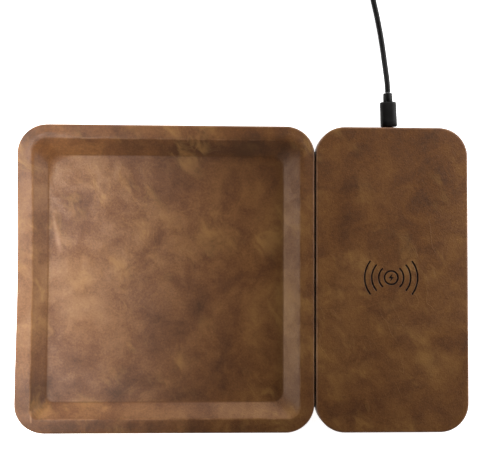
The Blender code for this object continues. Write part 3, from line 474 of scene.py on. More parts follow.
def leather_finish(colours):
    """Waxed leather: cloudy, with soft golden patches, fine grain, rubbed edges and streaks, with
    painted shade in its inward rounds and painted light and shade from the tray's patches.
    """
    hide = Finish("waxed_leather", Specular_IOR_Level=0.27)
    place = hide.drifted(30.0 * MM, 18.0 * MM)
    clouds = hide.noise(46.0 * MM, 3.0, 0.55, place=place)
    mottling = hide.noise(12.0 * MM, 4.0, 0.60, 0.25, place=place)
    flecks = hide.noise(1.3 * MM, 3.0, 0.80)
    tone = hide.sums("MULTIPLY_ADD", clouds, 0.34, hide.sums(
        "MULTIPLY_ADD", mottling, 0.32, hide.sums("MULTIPLY_ADD", flecks, 0.26, 0.04)))
    # The tray's patches add their painted light and shade to the leather's tone here
    tone = hide.sums("ADD", tone, hide.attribute("tone"))
    colour = hide.ramp(tone, ((0.375, colours.dark), (0.49, colours.brown), (0.63, colours.ochre),
                              (0.80, colours.golden)))

    drawn = hide.stretched((1.0, 1.8, 1.0), math.radians(38.0), place)
    pulled = hide.noise(15.0 * MM, 4.0, 0.60, 0.35, place=drawn)
    patchy = hide.spread(hide.noise(38.0 * MM, 2.0), 0.40, 0.60)
    glow = hide.sums("MULTIPLY", hide.spread(pulled, 0.50, 0.72), patchy)
    colour = hide.mix(hide.sums("MULTIPLY", glow, 0.60), colour, colours.golden)

    wandering = hide.drifted(16.0 * MM, 9.0 * MM)
    first = streaks(hide, 15.0 * MM, math.radians(24.0), 0.022, wandering)
    second = streaks(hide, 11.0 * MM, math.radians(-58.0), 0.020, wandering)
    crease = hide.sums("MAXIMUM", first, hide.sums("MULTIPLY", second, 0.7))
    colour = hide.mix(hide.sums("MULTIPLY", crease, 0.15), colour, colours.golden)
    for start, end, width, strength in RUBS:
        away = hide.distance_to(start, end)
        line = hide.spread(away, 0.0, width, strength, 0.0)
        colour = hide.mix(line, colour, colours.worn)

    edge = hide.attribute("edge")
    rub = hide.spread(hide.noise(9.0 * MM, 4.0, 0.65), 0.35, 0.70)
    worn = hide.sums("MULTIPLY", hide.spread(edge, 0.2, 1.0), rub)
    colour = hide.mix(hide.sums("MULTIPLY", worn, 0.30), colour, colours.worn)
    # Painted shade: the inward rounds, such as the dish's foot, are darkened towards the dark brown
    painted_crease_shade = hide.spread(edge, -1.0, -0.1, 0.30, 0.0)
    colour = hide.mix(painted_crease_shade, colour, colours.dark)
    burnt = hide.attribute("burnt")
    colour = hide.mix(burnt, colour, colours.burnt)

    rough = hide.spread(mottling, 0.3, 0.7, 0.52, 0.40)
    rough = hide.sums("MULTIPLY_ADD", burnt, 0.45, rough)
    pores = hide.cells(1.05 * MM, place=hide.drifted(2.0 * MM, 1.2 * MM))
    fine = hide.noise(0.42 * MM, 3.0, 0.7)
    normal = hide.bump(hide.noise(5.5 * MM, 3.0, 0.55, 0.5), 0.22 * MM, 0.5)
    normal = hide.bump(crease, 0.10 * MM, 0.6, normal)
    normal = hide.bump(pores, 0.10 * MM, 0.8, normal)
    normal = hide.bump(fine, 0.07 * MM, 0.8, normal)
    return hide.paint(colour, rough, normal)


def jacket_finish(name, colour, grain=0.35 * MM):
    """Soft black cable jacket: matt, with a very fine moulded texture and faint handling marks."""
    jacket = Finish(name, Specular_IOR_Level=0.17)
    marks = jacket.noise(9.0 * MM, 4.0, 0.6)
    shade = jacket.mix(jacket.spread(marks, 0.35, 0.7), colour, scaled(colour, 1.8))
    rough = jacket.spread(marks, 0.3, 0.7, 0.40, 0.56)
    normal = jacket.bump(jacket.noise(grain, 2.0, 0.6), 0.03 * MM, 0.6)
    return jacket.paint(shade, rough, normal)


def woven_finish(name, colour, thread):
    """Tightly woven tape or felted cloth."""
    cloth = Finish(name, Specular_IOR_Level=0.25, Sheen_Weight=0.25, Sheen_Roughness=0.5)
    cells = cloth.cells(thread, randomness=0.55)
    fuzz = cloth.noise(thread * 0.7, 3.0, 0.7)
    patches = cloth.noise(14.0 * MM, 3.0)
    shade = cloth.mix(cloth.spread(cells, 0.1, 0.8), scaled(colour, 1.7), colour)
    shade = cloth.mix(cloth.spread(patches, 0.3, 0.7, 0.0, 0.35), shade, scaled(colour, 0.6))
    normal = cloth.bump(fuzz, 0.06 * MM, 0.7, cloth.bump(cells, 0.12 * MM, 0.8))
    rough = cloth.spread(fuzz, 0.3, 0.7, 0.77, 0.93)
    return cloth.paint(shade, rough, normal)


def moulded_finish(name, colour, roughness, grain=0.5 * MM, depth=0.04 * MM):
    """Moulded plastic or rubber with a fine spark-eroded texture and a little dust."""
    plastic = Finish(name, Specular_IOR_Level=0.5)
    texture = plastic.noise(grain, 3.0, 0.6)
    dust = plastic.noise(16.0 * MM, 4.0, 0.65)
    shade = plastic.mix(plastic.spread(dust, 0.45, 0.75, 0.0, 0.5), colour,
                        tuple(min(1.0, 1.35 * c + 0.004) for c in colour))
    rough = plastic.spread(dust, 0.3, 0.7, roughness - 0.06, roughness + 0.06)
    return plastic.paint(shade, rough, plastic.bump(texture, depth, 0.7))


def metal_finish(name, colour, roughness, brushed=(1.0, 1.0, 1.0)):
    """Plated or brushed metal with fine scratches."""
    metal = Finish(name, Metallic=1.0)
    scratches = metal.noise(0.5 * MM, 4.0, 0.7, place=metal.stretched(brushed))
    tarnish = metal.noise(5.0 * MM, 4.0, 0.6)
    shade = metal.mix(metal.spread(tarnish, 0.4, 0.75, 0.0, 0.5), colour, scaled(colour, 0.80))
    rough = metal.sums("MULTIPLY_ADD", scratches, 0.18, metal.spread(
        tarnish, 0.3, 0.7, roughness - 0.09, roughness))
    return metal.paint(shade, rough, metal.bump(scratches, 0.004 * MM, 0.6))


def board_finish():
    """Green solder resist over copper tracks, with plated holes."""
    board = Finish("board_resist", Specular_IOR_Level=0.5, Coat_Weight=0.4, Coat_Roughness=0.2)
    tracks = board.cells(3.1 * MM, randomness=0.35)
    lanes = board.spread(tracks, 0.34, 0.40)
    pads = board.spread(tracks, 0.05, 0.12, 1.0, 0.0)
    colour = board.mix(lanes, (0.012, 0.105, 0.045), (0.022, 0.170, 0.075))
    colour = board.mix(pads, colour, (0.62, 0.55, 0.40))
    weave = board.noise(0.8 * MM, 2.0)
    rough = board.spread(weave, 0.3, 0.7, 0.32, 0.46)
    return board.paint(colour, rough, board.bump(lanes, 0.03 * MM, 0.7))


def paper_finish(name, colour, glow):
    """Plain pale paper with a very faint texture."""
    paper = Finish(name, Specular_IOR_Level=0.1, Emission_Strength=glow,
                   Emission_Color=(1.0, 1.0, 1.0, 1.0))
    cloud = paper.noise(0.6, 2.0)
    shade = paper.mix(paper.spread(cloud, 0.3, 0.7), colour, scaled(colour, 0.985))
    rough = paper.spread(cloud, 0.3, 0.7, 0.88, 0.94)
    return paper.paint(shade, rough, paper.bump(paper.noise(1.2 * MM, 2.0), 0.02 * MM, 0.3))


# ---------------------------------------------------------------- shapes

def middle_and_half(low, high):
    """A box's middle and half its size, along each axis."""
    low, high = np.array(low), np.array(high)
    return (low + high) / 2, (high - low) / 2


def mesh_of(name, points, faces, sharp=None, **attributes):
    """A smooth mesh; edges over sharp degrees stay crisp, attributes are a number at each point."""
    mesh = bpy.data.meshes.new(name)
    mesh.from_pydata([tuple(point) for point in points], [], faces)
    for key, values in attributes.items():
        layer = mesh.attributes.new(key, "FLOAT", "POINT")
        layer.data.foreach_set("value", np.asarray(values, np.float32))
    mesh.shade_smooth()
    if sharp is not None:
        mesh.set_sharp_from_angle(angle=math.radians(sharp))
    return mesh


def piece(name, data, material, body, slot, *nodes):
    """Put a finished piece in the scene, on its body, in place of its plain solids."""
    obj = bpy.data.objects.new(name, data)
    bpy.context.scene.collection.objects.link(obj)
    data.materials.clear()
    data.materials.append(material)
    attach(obj, body)
    if nodes:
        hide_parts(*nodes)
    return obj


def dress(names, material):
    """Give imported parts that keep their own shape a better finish."""
    for name in names:
        part = frame["nodes"][name]
        part.data.materials.clear()
        part.data.materials.append(material)


def solidify(obj, thickness, offset=-1.0):
    """Give a sheet its thickness: inwards, or on both sides where offset is 0."""
    wall = obj.modifiers.new("thickness", "SOLIDIFY")
    wall.thickness = thickness
    wall.offset = offset


def eased(value):
    """From 0 to 1 with a soft start and end."""
    value = np.clip(value, 0.0, 1.0)
    return value * value * (3.0 - 2.0 * value)


def rounded_path(corners, radii, step):
    """Rows of (inset, height, edge) along a path whose corners are rounded.

    edge is 1 in the middle of an outward round, -1 in the middle of an inward one."""
    points = [np.array(corner, float) for corner in corners]
    rows = [(*points[0], 0.0)]

    def run_to(end):
        start = np.array(rows[-1][:2])
        count = max(1, math.ceil(np.linalg.norm(end - start) / step))
        for share in np.linspace(0.0, 1.0, count + 1)[1:]:
            rows.append((*(start + (end - start) * share), 0.0))

    for before, corner, after, radius in zip(points, points[1:], points[2:], radii):
        back = (before - corner) / np.linalg.norm(before - corner)
        onward = (after - corner) / np.linalg.norm(after - corner)
        half = 0.5 * math.acos(np.clip(back @ onward, -1.0, 1.0))
        middle = corner + (back + onward) / np.linalg.norm(back + onward) * radius / math.sin(half)
        outward = math.copysign(1.0, back[0] * onward[1] - back[1] * onward[0])
        run_to(corner + back * radius / math.tan(half))
        arm = np.array(rows[-1][:2]) - middle
        turn = -outward * (math.pi - 2 * half)
        count = max(4, math.ceil(abs(math.degrees(turn)) / 10.0))
        for share in np.linspace(0.0, 1.0, count + 1)[1:]:
            c, s = math.cos(turn * share), math.sin(turn * share)
            place = middle + (c * arm[0] - s * arm[1], s * arm[0] + c * arm[1])
            rows.append((*place, outward * math.sin(math.pi * share)))
        rows[-1] = (*rows[-1][:2], 0.0)
    run_to(points[-1])
    return rows


def outline(half_x, half_y, radii, steps):
    """Points anticlockwise round a rounded rectangle, from the middle of its back right corner.

    radii are the corners' and steps the points along X, along Y and round a corner."""
    along_x, along_y, round_steps = steps
    corners = ((1, 1, 0), (-1, 1, 90), (-1, -1, 180), (1, -1, 270))
    arcs = []
    for (side_x, side_y, start), radius in zip(corners, radii):
        angles = np.radians(np.linspace(start, start + 90, round_steps + 1))
        centre = np.array((side_x * (half_x - radius), side_y * (half_y - radius)))
        arcs.append(centre + radius * np.stack([np.cos(angles), np.sin(angles)], axis=1))
    points = []
    for arc, following, count in zip(arcs, arcs[1:] + arcs[:1], (along_x, along_y) * 2):
        points.append(arc)
        shares = np.linspace(0.0, 1.0, count + 1)[1:-1, None]
        points.append(arc[-1] + (following[0] - arc[-1]) * shares)
    return np.roll(np.concatenate(points), -(round_steps // 2), axis=0)


def rectangle(half_x, half_y, across, down):
    """Points round a plain rectangle, in the same order as an outline's."""
    corners = box_corners(half_x, half_y)
    points = []
    for start, end, count in zip(corners, corners[1:] + corners[:1], (across, down) * 2):
        points.append(start + (end - start) * np.linspace(0.0, 1.0, count + 1)[:-1, None])
    return np.concatenate(points)


def grid_inside(ring, across, down):
    """Points of a grid that fills a ring: its four sides blended towards one another."""
    closed = np.vstack([ring, ring[:1]])
    back = closed[:across + 1]
    left = closed[across:across + down + 1]
    front = closed[across + down:2 * across + down + 1][::-1]
    right = closed[2 * across + down:][::-1]
    u = np.linspace(0.0, 1.0, across + 1)[:, None, None]
    v = np.linspace(0.0, 1.0, down + 1)[None, :, None]
    corner_mix = ((1 - u) * (1 - v) * back[0] + u * (1 - v) * back[-1]
                  + (1 - u) * v * front[0] + u * v * front[-1])
    return ((1 - v) * back[:, None] + v * front[:, None]
            + (1 - u) * right[None] + u * left[None] - corner_mix)


def skin_of(rings, across, down):
    """Points and faces of a skin through closed rings, with a grid inside the last one."""
    count = len(rings[0])
    points = list(np.concatenate(rings))
    faces = []
    for number in range(len(rings) - 1):
        low, high = number * count, (number + 1) * count
        for i in range(count):
            j = (i + 1) % count
            faces.append((low + i, low + j, high + j, high + i))
    last = (len(rings) - 1) * count
    grid = grid_inside(rings[-1], across, down)
    index = np.empty((across + 1, down + 1), int)
    index[:, 0] = last + np.arange(across + 1)
    index[across, :] = last + across + np.arange(down + 1)
    index[::-1, down] = last + across + down + np.arange(across + 1)
    index[0, down:0:-1] = last + 2 * across + down + np.arange(down)
    for i in range(1, across):
        for j in range(1, down):
            index[i, j] = len(points)
            points.append(grid[i, j])
    for i in range(across):
        for j in range(down):
            faces.append((index[i, j], index[i + 1, j], index[i + 1, j + 1], index[i, j + 1]))
    return np.array(points), [tuple(int(v) for v in face) for face in faces]


def waves(points, size, seed):
    """Smooth noise between -1 and 1 at each point."""
    return np.array([noise.noise(Vector((x / size, y / size, z / size + seed)))
                     for x, y, z in points])


def lofted(sections):
    """Points and faces of a closed body through rings of points, its ends filled."""
    count = len(sections[0])
    points = np.concatenate(sections)
    faces = [tuple(reversed(range(count)))]
    for number in range(len(sections) - 1):
        low, high = number * count, (number + 1) * count
        for i in range(count):
            j = (i + 1) % count
            faces.append((low + i, low + j, high + j, high + i))
    faces.append(tuple(range(len(points) - count, len(points))))
    return points, faces


def squircle(half_width, half_height, power, count):
    """Points round a shape between an ellipse (power 2) and a rectangle (a high power)."""
    angles = np.linspace(0.0, 2 * math.pi, count, endpoint=False)
    c, s = np.cos(angles), np.sin(angles)
    return np.stack([half_width * np.sign(c) * np.abs(c) ** (2 / power),
                     half_height * np.sign(s) * np.abs(s) ** (2 / power)], axis=1)


def set_along(rows, origin, direction):
    """A closed body through (along, shape) rows that stand across a level direction."""
    forward = np.array((math.cos(direction), math.sin(direction), 0.0))
    sideways = np.array((-forward[1], forward[0], 0.0))
    upward = np.array((0.0, 0.0, 1.0))
    return lofted([np.array(origin) + forward * along + shape[:, :1] * sideways
                   + shape[:, 1:] * upward for along, shape in rows])


def bar_along(stations, origin, direction, count):
    """A closed bar from stations (along, half width, half height, squareness)."""
    return set_along([(along, squircle(half_width, half_height, power, count))
                      for along, half_width, half_height, power in stations], origin, direction)


def turned(profile, centre, count):
    """A body turned about the upright axis, from (radius, height) pairs, bottom to top."""
    angles = np.linspace(0.0, 2 * math.pi, count, endpoint=False)
    ring = np.stack([np.cos(angles), np.sin(angles), np.zeros(count)], axis=1)
    return lofted([np.array(centre) + ring * radius + np.array((0.0, 0.0, height))
                   for radius, height in profile])


def eased_polygon(corners, reach, steps=4):
    """Points round a polygon whose corners are eased over that reach along each side."""
    points = []
    neighbours = zip(corners[-1:] + corners[:-1], corners, corners[1:] + corners[:1])
    for before, corner, after in neighbours:
        corner = np.array(corner, float)
        back = (before - corner) / np.linalg.norm(before - corner)
        onward = (after - corner) / np.linalg.norm(after - corner)
        for t in np.linspace(0.0, 1.0, steps + 1):
            points.append(corner + back * reach * (1 - t) ** 2 + onward * reach * t ** 2)
    return np.array(points)


def sleeve(outer, wall, length, depth, origin, direction):
    """A thin pressed sleeve along a level direction, open at its far end to that depth."""
    inner = outer * (1.0 - wall / np.abs(outer).max(axis=0))
    lip = 0.4 * wall
    rows = ((0.0, outer), (length - lip, outer), (length, 0.7 * outer + 0.3 * inner),
            (length, 0.3 * outer + 0.7 * inner), (length - lip, inner), (length - depth, inner))
    return set_along(rows, origin, direction)


def box_corners(half_x, half_y):
    """The corners of a rectangle, anticlockwise from the back right one."""
    return [np.array((side_x * half_x, side_y * half_y))
            for side_x, side_y in ((1, 1), (-1, 1), (-1, -1), (1, -1))]


def block(low, high, ease):
    """A box between two corners with its edges eased."""
    middle, half = middle_and_half(low, high)
    shape = eased_polygon(box_corners(half[0], half[1]), ease, 3)
    rows = ((low[2], 1.0 - ease / half[:2]), (low[2] + ease, 1.0), (high[2] - ease, 1.0),
            (high[2], 1.0 - ease / half[:2]))
    return lofted([np.column_stack([middle[:2] + shape * scale, np.full(len(shape), height)])
                   for height, scale in rows])


def together(shapes):
    """One set of points and faces from several."""
    points = []
    faces = []
    for some_points, some_faces in shapes:
        start = len(points)
        points += list(some_points)
        faces += [tuple(start + v for v in face) for face in some_faces]
    return points, faces


def cut_out(name, shape, cutters):
    """A mesh with other closed shapes cut out of it."""
    body = bpy.data.objects.new(name, mesh_of(name, *shape))
    knife = bpy.data.objects.new(name + "_knife", mesh_of(name + "_knife", *together(cutters)))
    for obj in (body, knife):
        bpy.context.scene.collection.objects.link(obj)
    cut = body.modifiers.new("cut", "BOOLEAN")
    cut.object = knife
    cut.solver = "EXACT"
    bpy.context.view_layer.update()
    evaluated = body.evaluated_get(bpy.context.evaluated_depsgraph_get())
    mesh = bpy.data.meshes.new_from_object(evaluated)
    for obj in (body, knife):
        bpy.data.objects.remove(obj, do_unlink=True)
    mesh.shade_smooth()
    mesh.set_sharp_from_angle(angle=math.radians(40.0))
    return mesh


def ribbon(path, across, half_widths):
    """An open strip that follows a path in the X-Z plane, from its middle Y and its half widths."""
    count = 9
    points = [(x, across + width * share, z)
              for (x, z), width in zip(path, half_widths) for share in np.linspace(-1, 1, count)]
    faces = [(i * count + j, i * count + j + 1, (i + 1) * count + j + 1, (i + 1) * count + j)
             for i in range(len(path) - 1) for j in range(count - 1)]
    return points, faces


def round_curve(name, radius, sides):
    """An empty curve whose section is round, with its ends closed."""
    curve = bpy.data.curves.new(name, "CURVE")
    curve.dimensions = "3D"
    curve.bevel_depth = radius
    curve.bevel_resolution = sides
    curve.use_fill_caps = True
    return curve


# ---------------------------------------------------------------- lead

def coil_points():
    """The coil's centreline: a flat layer wound inwards, then one wound outwards on top of it."""
    points = []
    radii = TURN_RADII + TURN_RADII[::-1]
    last = len(radii) - 1
    total = int(COIL_TURNS * COIL_POINTS)
    for number in range(total + 1):
        turn = COIL_TURNS * number / total
        whole = min(int(turn), last)
        step_in = eased((turn - whole - (1.0 - STEP_SHARE)) / STEP_SHARE)
        radius = radii[whole] + (radii[min(whole + 1, last)] - radii[whole]) * step_in
        climb = eased((turn - (len(TURN_RADII) - STEP_SHARE)) / STEP_SHARE)
        height = LAYER_HEIGHTS[0] + (LAYER_HEIGHTS[1] - LAYER_HEIGHTS[0]) * climb
        angle = COIL_START + 360.0 * turn
        from_tie = abs((angle - TIE_ANGLE + 180.0) % 360.0 - 180.0)
        height += TIE_LIFT * eased((HUMP_HALF - from_tie) / HUMP_EASE)
        points.append((COIL_CENTRE[0] + radius * MM * math.cos(math.radians(angle)),
                       COIL_CENTRE[1] + radius * MM * math.sin(math.radians(angle)),
                       height * MM))
    return points


def lead_curve(diameter):
    """The whole lead: its free run, its coil and its far end."""
    run, tail = ([tuple(value * MM for value in point) for point in route]
                 for route in (LEAD_RUN, LEAD_TAIL))
    points = run + coil_points() + tail
    curve = round_curve("lead_cord", diameter / 2, 6)
    curve.resolution_u = 4
    spline = curve.splines.new("BEZIER")
    spline.bezier_points.add(len(points) - 1)
    for knot, place in zip(spline.bezier_points, points):
        knot.co = place
        knot.handle_left_type = "AUTO"
        knot.handle_right_type = "AUTO"
    return curve


def plug_frame():
    """The small plug's own origin and heading: it sits a little askew in the socket."""
    return (SOCKET_X, HALF_DEPTH, PLUG_Z), math.pi / 2 + PLUG_TILT


def small_plug_body():
    """The small plug's moulded body."""
    stations = [(PLUG_FRONT + along * MM, PLUG_HALF[0] * wide, PLUG_HALF[1] * high, power)
                for along, wide, high, power in PLUG_ROWS]
    origin, heading = plug_frame()
    return bar_along(stations, origin, heading, 96)


def neck_stations(start, length, radius, bore):
    """Stations of a plain strain relief: rounded at its end, with a mouth round the cord."""
    narrow = radius - 0.15 * MM
    rows = ((0.0, radius - 0.2 * MM), (0.15 * MM, radius), (0.5 * length, radius - 0.05 * MM),
            (length - 0.6 * MM, narrow), (length - 0.25 * MM, narrow - 0.10 * MM),
            (length - 0.06 * MM, narrow - 0.30 * MM), (length, narrow - 0.55 * MM),
            (length - 0.1 * MM, bore + 0.1 * MM), (length - 0.6 * MM, bore))
    return [(start + along, wide, wide, 2.0) for along, wide in rows]


def small_plug_sleeve():
    """The small plug's metal sleeve: flat on top, its lower corners cut off."""
    half_width, half_height = SMALL_SLEEVE_HALF
    cut = SMALL_SLEEVE_CUT
    corners = [(half_width, half_height), (-half_width, half_height),
               (-half_width, -half_height + cut), (-half_width + cut, -half_height),
               (half_width - cut, -half_height), (half_width, -half_height + cut)]
    outer = eased_polygon([np.array(c) * (-1.0, 1.0) for c in reversed(corners)], 0.2 * MM)
    (x, y, z), heading = plug_frame()
    origin = (x + SMALL_SLEEVE_START * math.cos(heading),
              y + SMALL_SLEEVE_START * math.sin(heading), z)
    return sleeve(outer, SMALL_SLEEVE_WALL, SMALL_SLEEVE_LENGTH, SMALL_SLEEVE_DEPTH, origin,
                  heading + math.pi)


def large_plug_body(low, high):
    """The far plug's moulded housing, with shallow finger grips along both sides."""
    middle, half = middle_and_half(low, high)
    stations = list(LARGE_PLUG_BACK)
    for number in range(GRIP_STEPS + 1):
        rib = 0.5 * (1.0 - math.cos(2 * math.pi * number / RIB_STEPS))
        grip = math.sin(math.pi * number / GRIP_STEPS) ** 0.5
        stations.append((GRIP_START + GRIP_STEP * number, 1.0 - RIB_DEPTH * grip * rib, 1.0, 4.4))
    stations += LARGE_PLUG_FRONT
    unit = 2 * half[0] / LARGE_PLUG_LENGTH
    return bar_along([(along * unit, half[1] * wide, half[2] * tall, power)
                      for along, wide, tall, power in stations],
                     (high.x, middle[1], middle[2]), math.pi, 96)


def large_plug_sleeve(low, high):
    """The far plug's metal sleeve with its four square windows."""
    middle, half = middle_and_half(low, high)
    shape = sleeve(eased_polygon(box_corners(half[1], half[2]), LARGE_SLEEVE_CORNER),
                   LARGE_SLEEVE_WALL, 2 * half[0], LARGE_SLEEVE_DEPTH,
                   (high.x, middle[1], middle[2]), math.pi)
    windows = []
    for side_y in (-1, 1):
        for side_z in (-1, 1):
            centre = np.array((low.x + WINDOW_X, middle[1] + side_y * WINDOW_Y,
                               middle[2] + side_z * half[2]))
            windows.append(block(centre - WINDOW_HALF, centre + WINDOW_HALF, 0.2 * MM))
    return cut_out("large_plug_sleeve", shape, windows)


def plug_contacts(low, high):
    """Four gold contacts on the far plug's insert."""
    strips = []
    for place, reach in CONTACTS:
        y = (low.y + high.y) / 2 + place * MM
        strips.append(block((low.x + CONTACT_START, y - CONTACT_HALF, high.z - CONTACT_SINK),
                            (low.x + reach * MM, y + CONTACT_HALF, high.z + CONTACT_RISE),
                            0.05 * MM))
    return together(strips)


def tie_strap(low, high):
    """A strap once round the coil's turns, its end lapped over its start."""
    middle, half = middle_and_half(low, high)
    half_x, half_z = half[0] - STRAP_ROOM / 2, half[2] - STRAP_ROOM / 2
    ring = outline(half_x, half_z, [STRAP_ROUND] * 4, STRAP_STEPS)
    turns = np.vstack([ring, ring[:LAP]])
    step_up = np.zeros(len(turns))
    step_up[-LAP:] = LAP_RISE
    step_up[-LAP - LAP_EASE:-LAP] = LAP_RISE * eased(np.arange(LAP_EASE) / LAP_EASE)
    outward = turns / np.array((half_x, half_z))
    outward = np.where(np.abs(outward) >= 0.98, np.sign(outward), 0.0)
    path = turns + outward * step_up[:, None] + (middle[0], middle[2])
    widths = np.full(len(path), half[1])
    tip = np.arange(TIP)[::-1] / TIP
    widths[-TIP:] *= np.sqrt(1.0 - (1.0 - np.clip(tip + 0.12, 0, 1)) ** 2)
    return ribbon(path, middle[1], widths)


# ---------------------------------------------------------------- leather skins

def corner_radii(inset):
    """The four corners' radii at that inset: the outline's, then the rim's, then the floor's."""
    insets = (0.0, RIM_WIDTH, DISH_REACH, 2 * DISH_REACH)
    return [np.interp(inset, insets, (CORNER_RADIUS, a, b, 0.8 * b))
            for a, b in zip(RIM_CORNERS, FLOOR_CORNERS)]


def gather_underside(points, half_x, centre):
    """Small pleats where the turned-in leather goes round a corner underneath."""
    under = eased((WRAP_BOTTOM + PLEAT_RISE - points[:, 2]) / PLEAT_RISE)
    x = np.abs(points[:, 0] - centre) - (half_x - CORNER_RADIUS)
    y = np.abs(points[:, 1]) - (HALF_DEPTH - CORNER_RADIUS)
    at_corner = eased(np.minimum(x, y) / PLEAT_SIDE)
    inward = eased((CORNER_RADIUS - np.hypot(x, y)) / PLEAT_INSET)
    pleat = np.maximum(0.0, np.sin(np.arctan2(y, np.maximum(x, 1e-9)) * PLEAT_TURNS))
    points[:, 2] += PLEAT_DEPTH * under * at_corner * inward * pleat


def soft_corner(ring, half_x):
    """How far each point belongs to the dish's two back corners, which are pressed softly."""
    softness = np.zeros(len(ring))
    for side, strength in SOFT_CORNERS:
        away = np.hypot(ring[:, 0] - TRAY_CENTRE - side * (half_x - SOFT_CENTRE),
                        ring[:, 1] - (HALF_DEPTH - SOFT_CENTRE))
        softness = np.maximum(softness, strength * np.exp(-(away / SOFT_RADIUS) ** 2))
    return softness


def ripple(points, wave, waves_used):
    """Let the top rise and dip a little."""
    upper = eased((points[:, 2] - WAVE_BOTTOM) / WAVE_EASE)
    broad, narrow = waves_used
    points[:, 2] += wave * upper * (waves(points, *broad) + 0.5 * waves(points, *narrow))


def tray_rings(half_x):
    """The tray's skin as rings, from the turned-in edge up to the dish's floor, and their edges."""
    path = rounded_path(
        ((WRAP_WIDTH, WRAP_BOTTOM), (0.0, WRAP_BOTTOM), (0.0, TOP - RIM_FALL), (RIM_WIDTH, TOP),
         (DISH_REACH, DISH_FLOOR), (DISH_REACH + FLOOR_BORDER, DISH_FLOOR)),
        (BOTTOM_ROUND, TOP_ROUND, RIM_ROUND, FOOT_ROUND), TRAY_RING_STEP)
    rings = []
    edge = []
    for inset, height, bend in path:
        flat = outline(half_x - inset, HALF_DEPTH - inset, corner_radii(inset), TRAY_STEPS)
        to_left = eased(-flat[:, 0] / (0.5 * half_x) - 0.9)
        at_rim = np.interp(inset, (0.0, RIM_WIDTH, DISH_REACH), (0.0, 1.0, 0.0))
        shift = (FLOOR_SHIFT * np.clip((inset - RIM_WIDTH) / SLOPE_WIDTH, 0.0, 1.0)
                 + LEFT_RIM_SHIFT * to_left * at_rim)
        ring = np.column_stack([flat[:, 0] + TRAY_CENTRE + shift, flat[:, 1],
                                np.full(len(flat), height)])
        in_dish = height > DISH_FLOOR - MM and inset > SOFT_INSET
        softness = soft_corner(ring, half_x) if in_dish else 0.0
        drop = eased((inset - SOFT_START) / SOFT_WIDTH)
        ring[:, 2] += softness * ((TOP - (TOP - DISH_FLOOR) * drop) - height)
        rings.append(ring)
        edge += list(bend * (1.0 - softness) * np.ones(len(flat)))
    return rings, edge


def tray_skin(wave):
    """The tray's leather: turned in under the edge, up the side, over the rim and into the dish."""
    half_x = (TRAY_HIGH.x - TRAY_LOW.x) / 2
    rings, edge = tray_rings(half_x)
    points, faces = skin_of(rings, TRAY_STEPS[0] + TRAY_STEPS[2], TRAY_STEPS[1] + TRAY_STEPS[2])
    edge += [0.0] * (len(points) - len(edge))

    ripple(points, wave, TRAY_WAVES)
    side = np.maximum(np.abs(points[:, 0] - TRAY_CENTRE) - half_x,
                      np.abs(points[:, 1]) - HALF_DEPTH) + SIDE_WAVE_WIDTH
    bulge = SIDE_WAVE_SHARE * wave * waves(points, *SIDE_WAVE) * eased(side / SIDE_WAVE_WIDTH)
    points[:, 0] += bulge * np.sign(points[:, 0] - TRAY_CENTRE)
    swell = sum(amount * eased((points[:, 1] - start) / (end - start))
                for amount, start, end in SWELLS)
    points[:, 0] -= swell * eased(1.0 - (points[:, 0] - TRAY_LOW.x) / SWELL_REACH)
    gather_underside(points, half_x, TRAY_CENTRE)
    # Painted light and shade from the patches, with some of the hide's own tone, kept at each point
    tone = np.zeros(len(points))
    for x, y, reach_x, reach_y, amount in PAINTED_LIGHT_AND_TONE_PATCHES:
        tone += amount * np.exp(-((points[:, 0] - TRAY_CENTRE - x * MM) / (reach_x * MM)) ** 2
                                - ((points[:, 1] - y * MM) / (reach_y * MM)) ** 2)
    return mesh_of("tray_hide", points, faces, edge=edge, tone=tone)


def bolt_distance(x, y):
    """Distance to the small bolt's outline, negative inside it."""
    w, h = BOLT_HALF
    half = [(0.40 * w, h), (-w, -0.16 * h), (-0.10 * w, -0.16 * h)]
    corners = half + [(-a, -b) for a, b in half]
    nearest = np.full(x.shape, 1.0)
    inside = np.zeros(x.shape, bool)
    for (x0, y0), (x1, y1) in zip(corners, corners[1:] + corners[:1]):
        run_x, run_y = x1 - x0, y1 - y0
        share = np.clip(((x - x0) * run_x + (y - y0) * run_y) / (run_x ** 2 + run_y ** 2), 0, 1)
        nearest = np.minimum(nearest, np.hypot(x - x0 - share * run_x, y - y0 - share * run_y))
        crosses = ((y0 > y) != (y1 > y)) & (x < run_x * (y - y0) / (run_y + 1e-12) + x0)
        inside ^= crosses
    return np.where(inside, -nearest, nearest)


def sign_distance(points):
    """Distance to the nearest pressed line of the charging sign, negative in the line."""
    x = points[:, 0] - SIGN_CENTRE[0]
    y = points[:, 1] - SIGN_CENTRE[1]
    radius = np.hypot(x, y)
    nearest = np.minimum(np.abs(radius - SIGN_RING) - SIGN_LINE / 2, bolt_distance(x, y))
    angle = np.arctan2(np.abs(y), np.abs(x))
    for arc_radius, spread in SIGN_ARCS:
        limit = math.radians(spread)
        from_end = np.hypot(np.abs(x) - arc_radius * math.cos(limit),
                            np.abs(y) - arc_radius * math.sin(limit))
        along = np.where(angle <= limit, np.abs(radius - arc_radius), from_end)
        nearest = np.minimum(nearest, along - SIGN_LINE / 2)
    return nearest


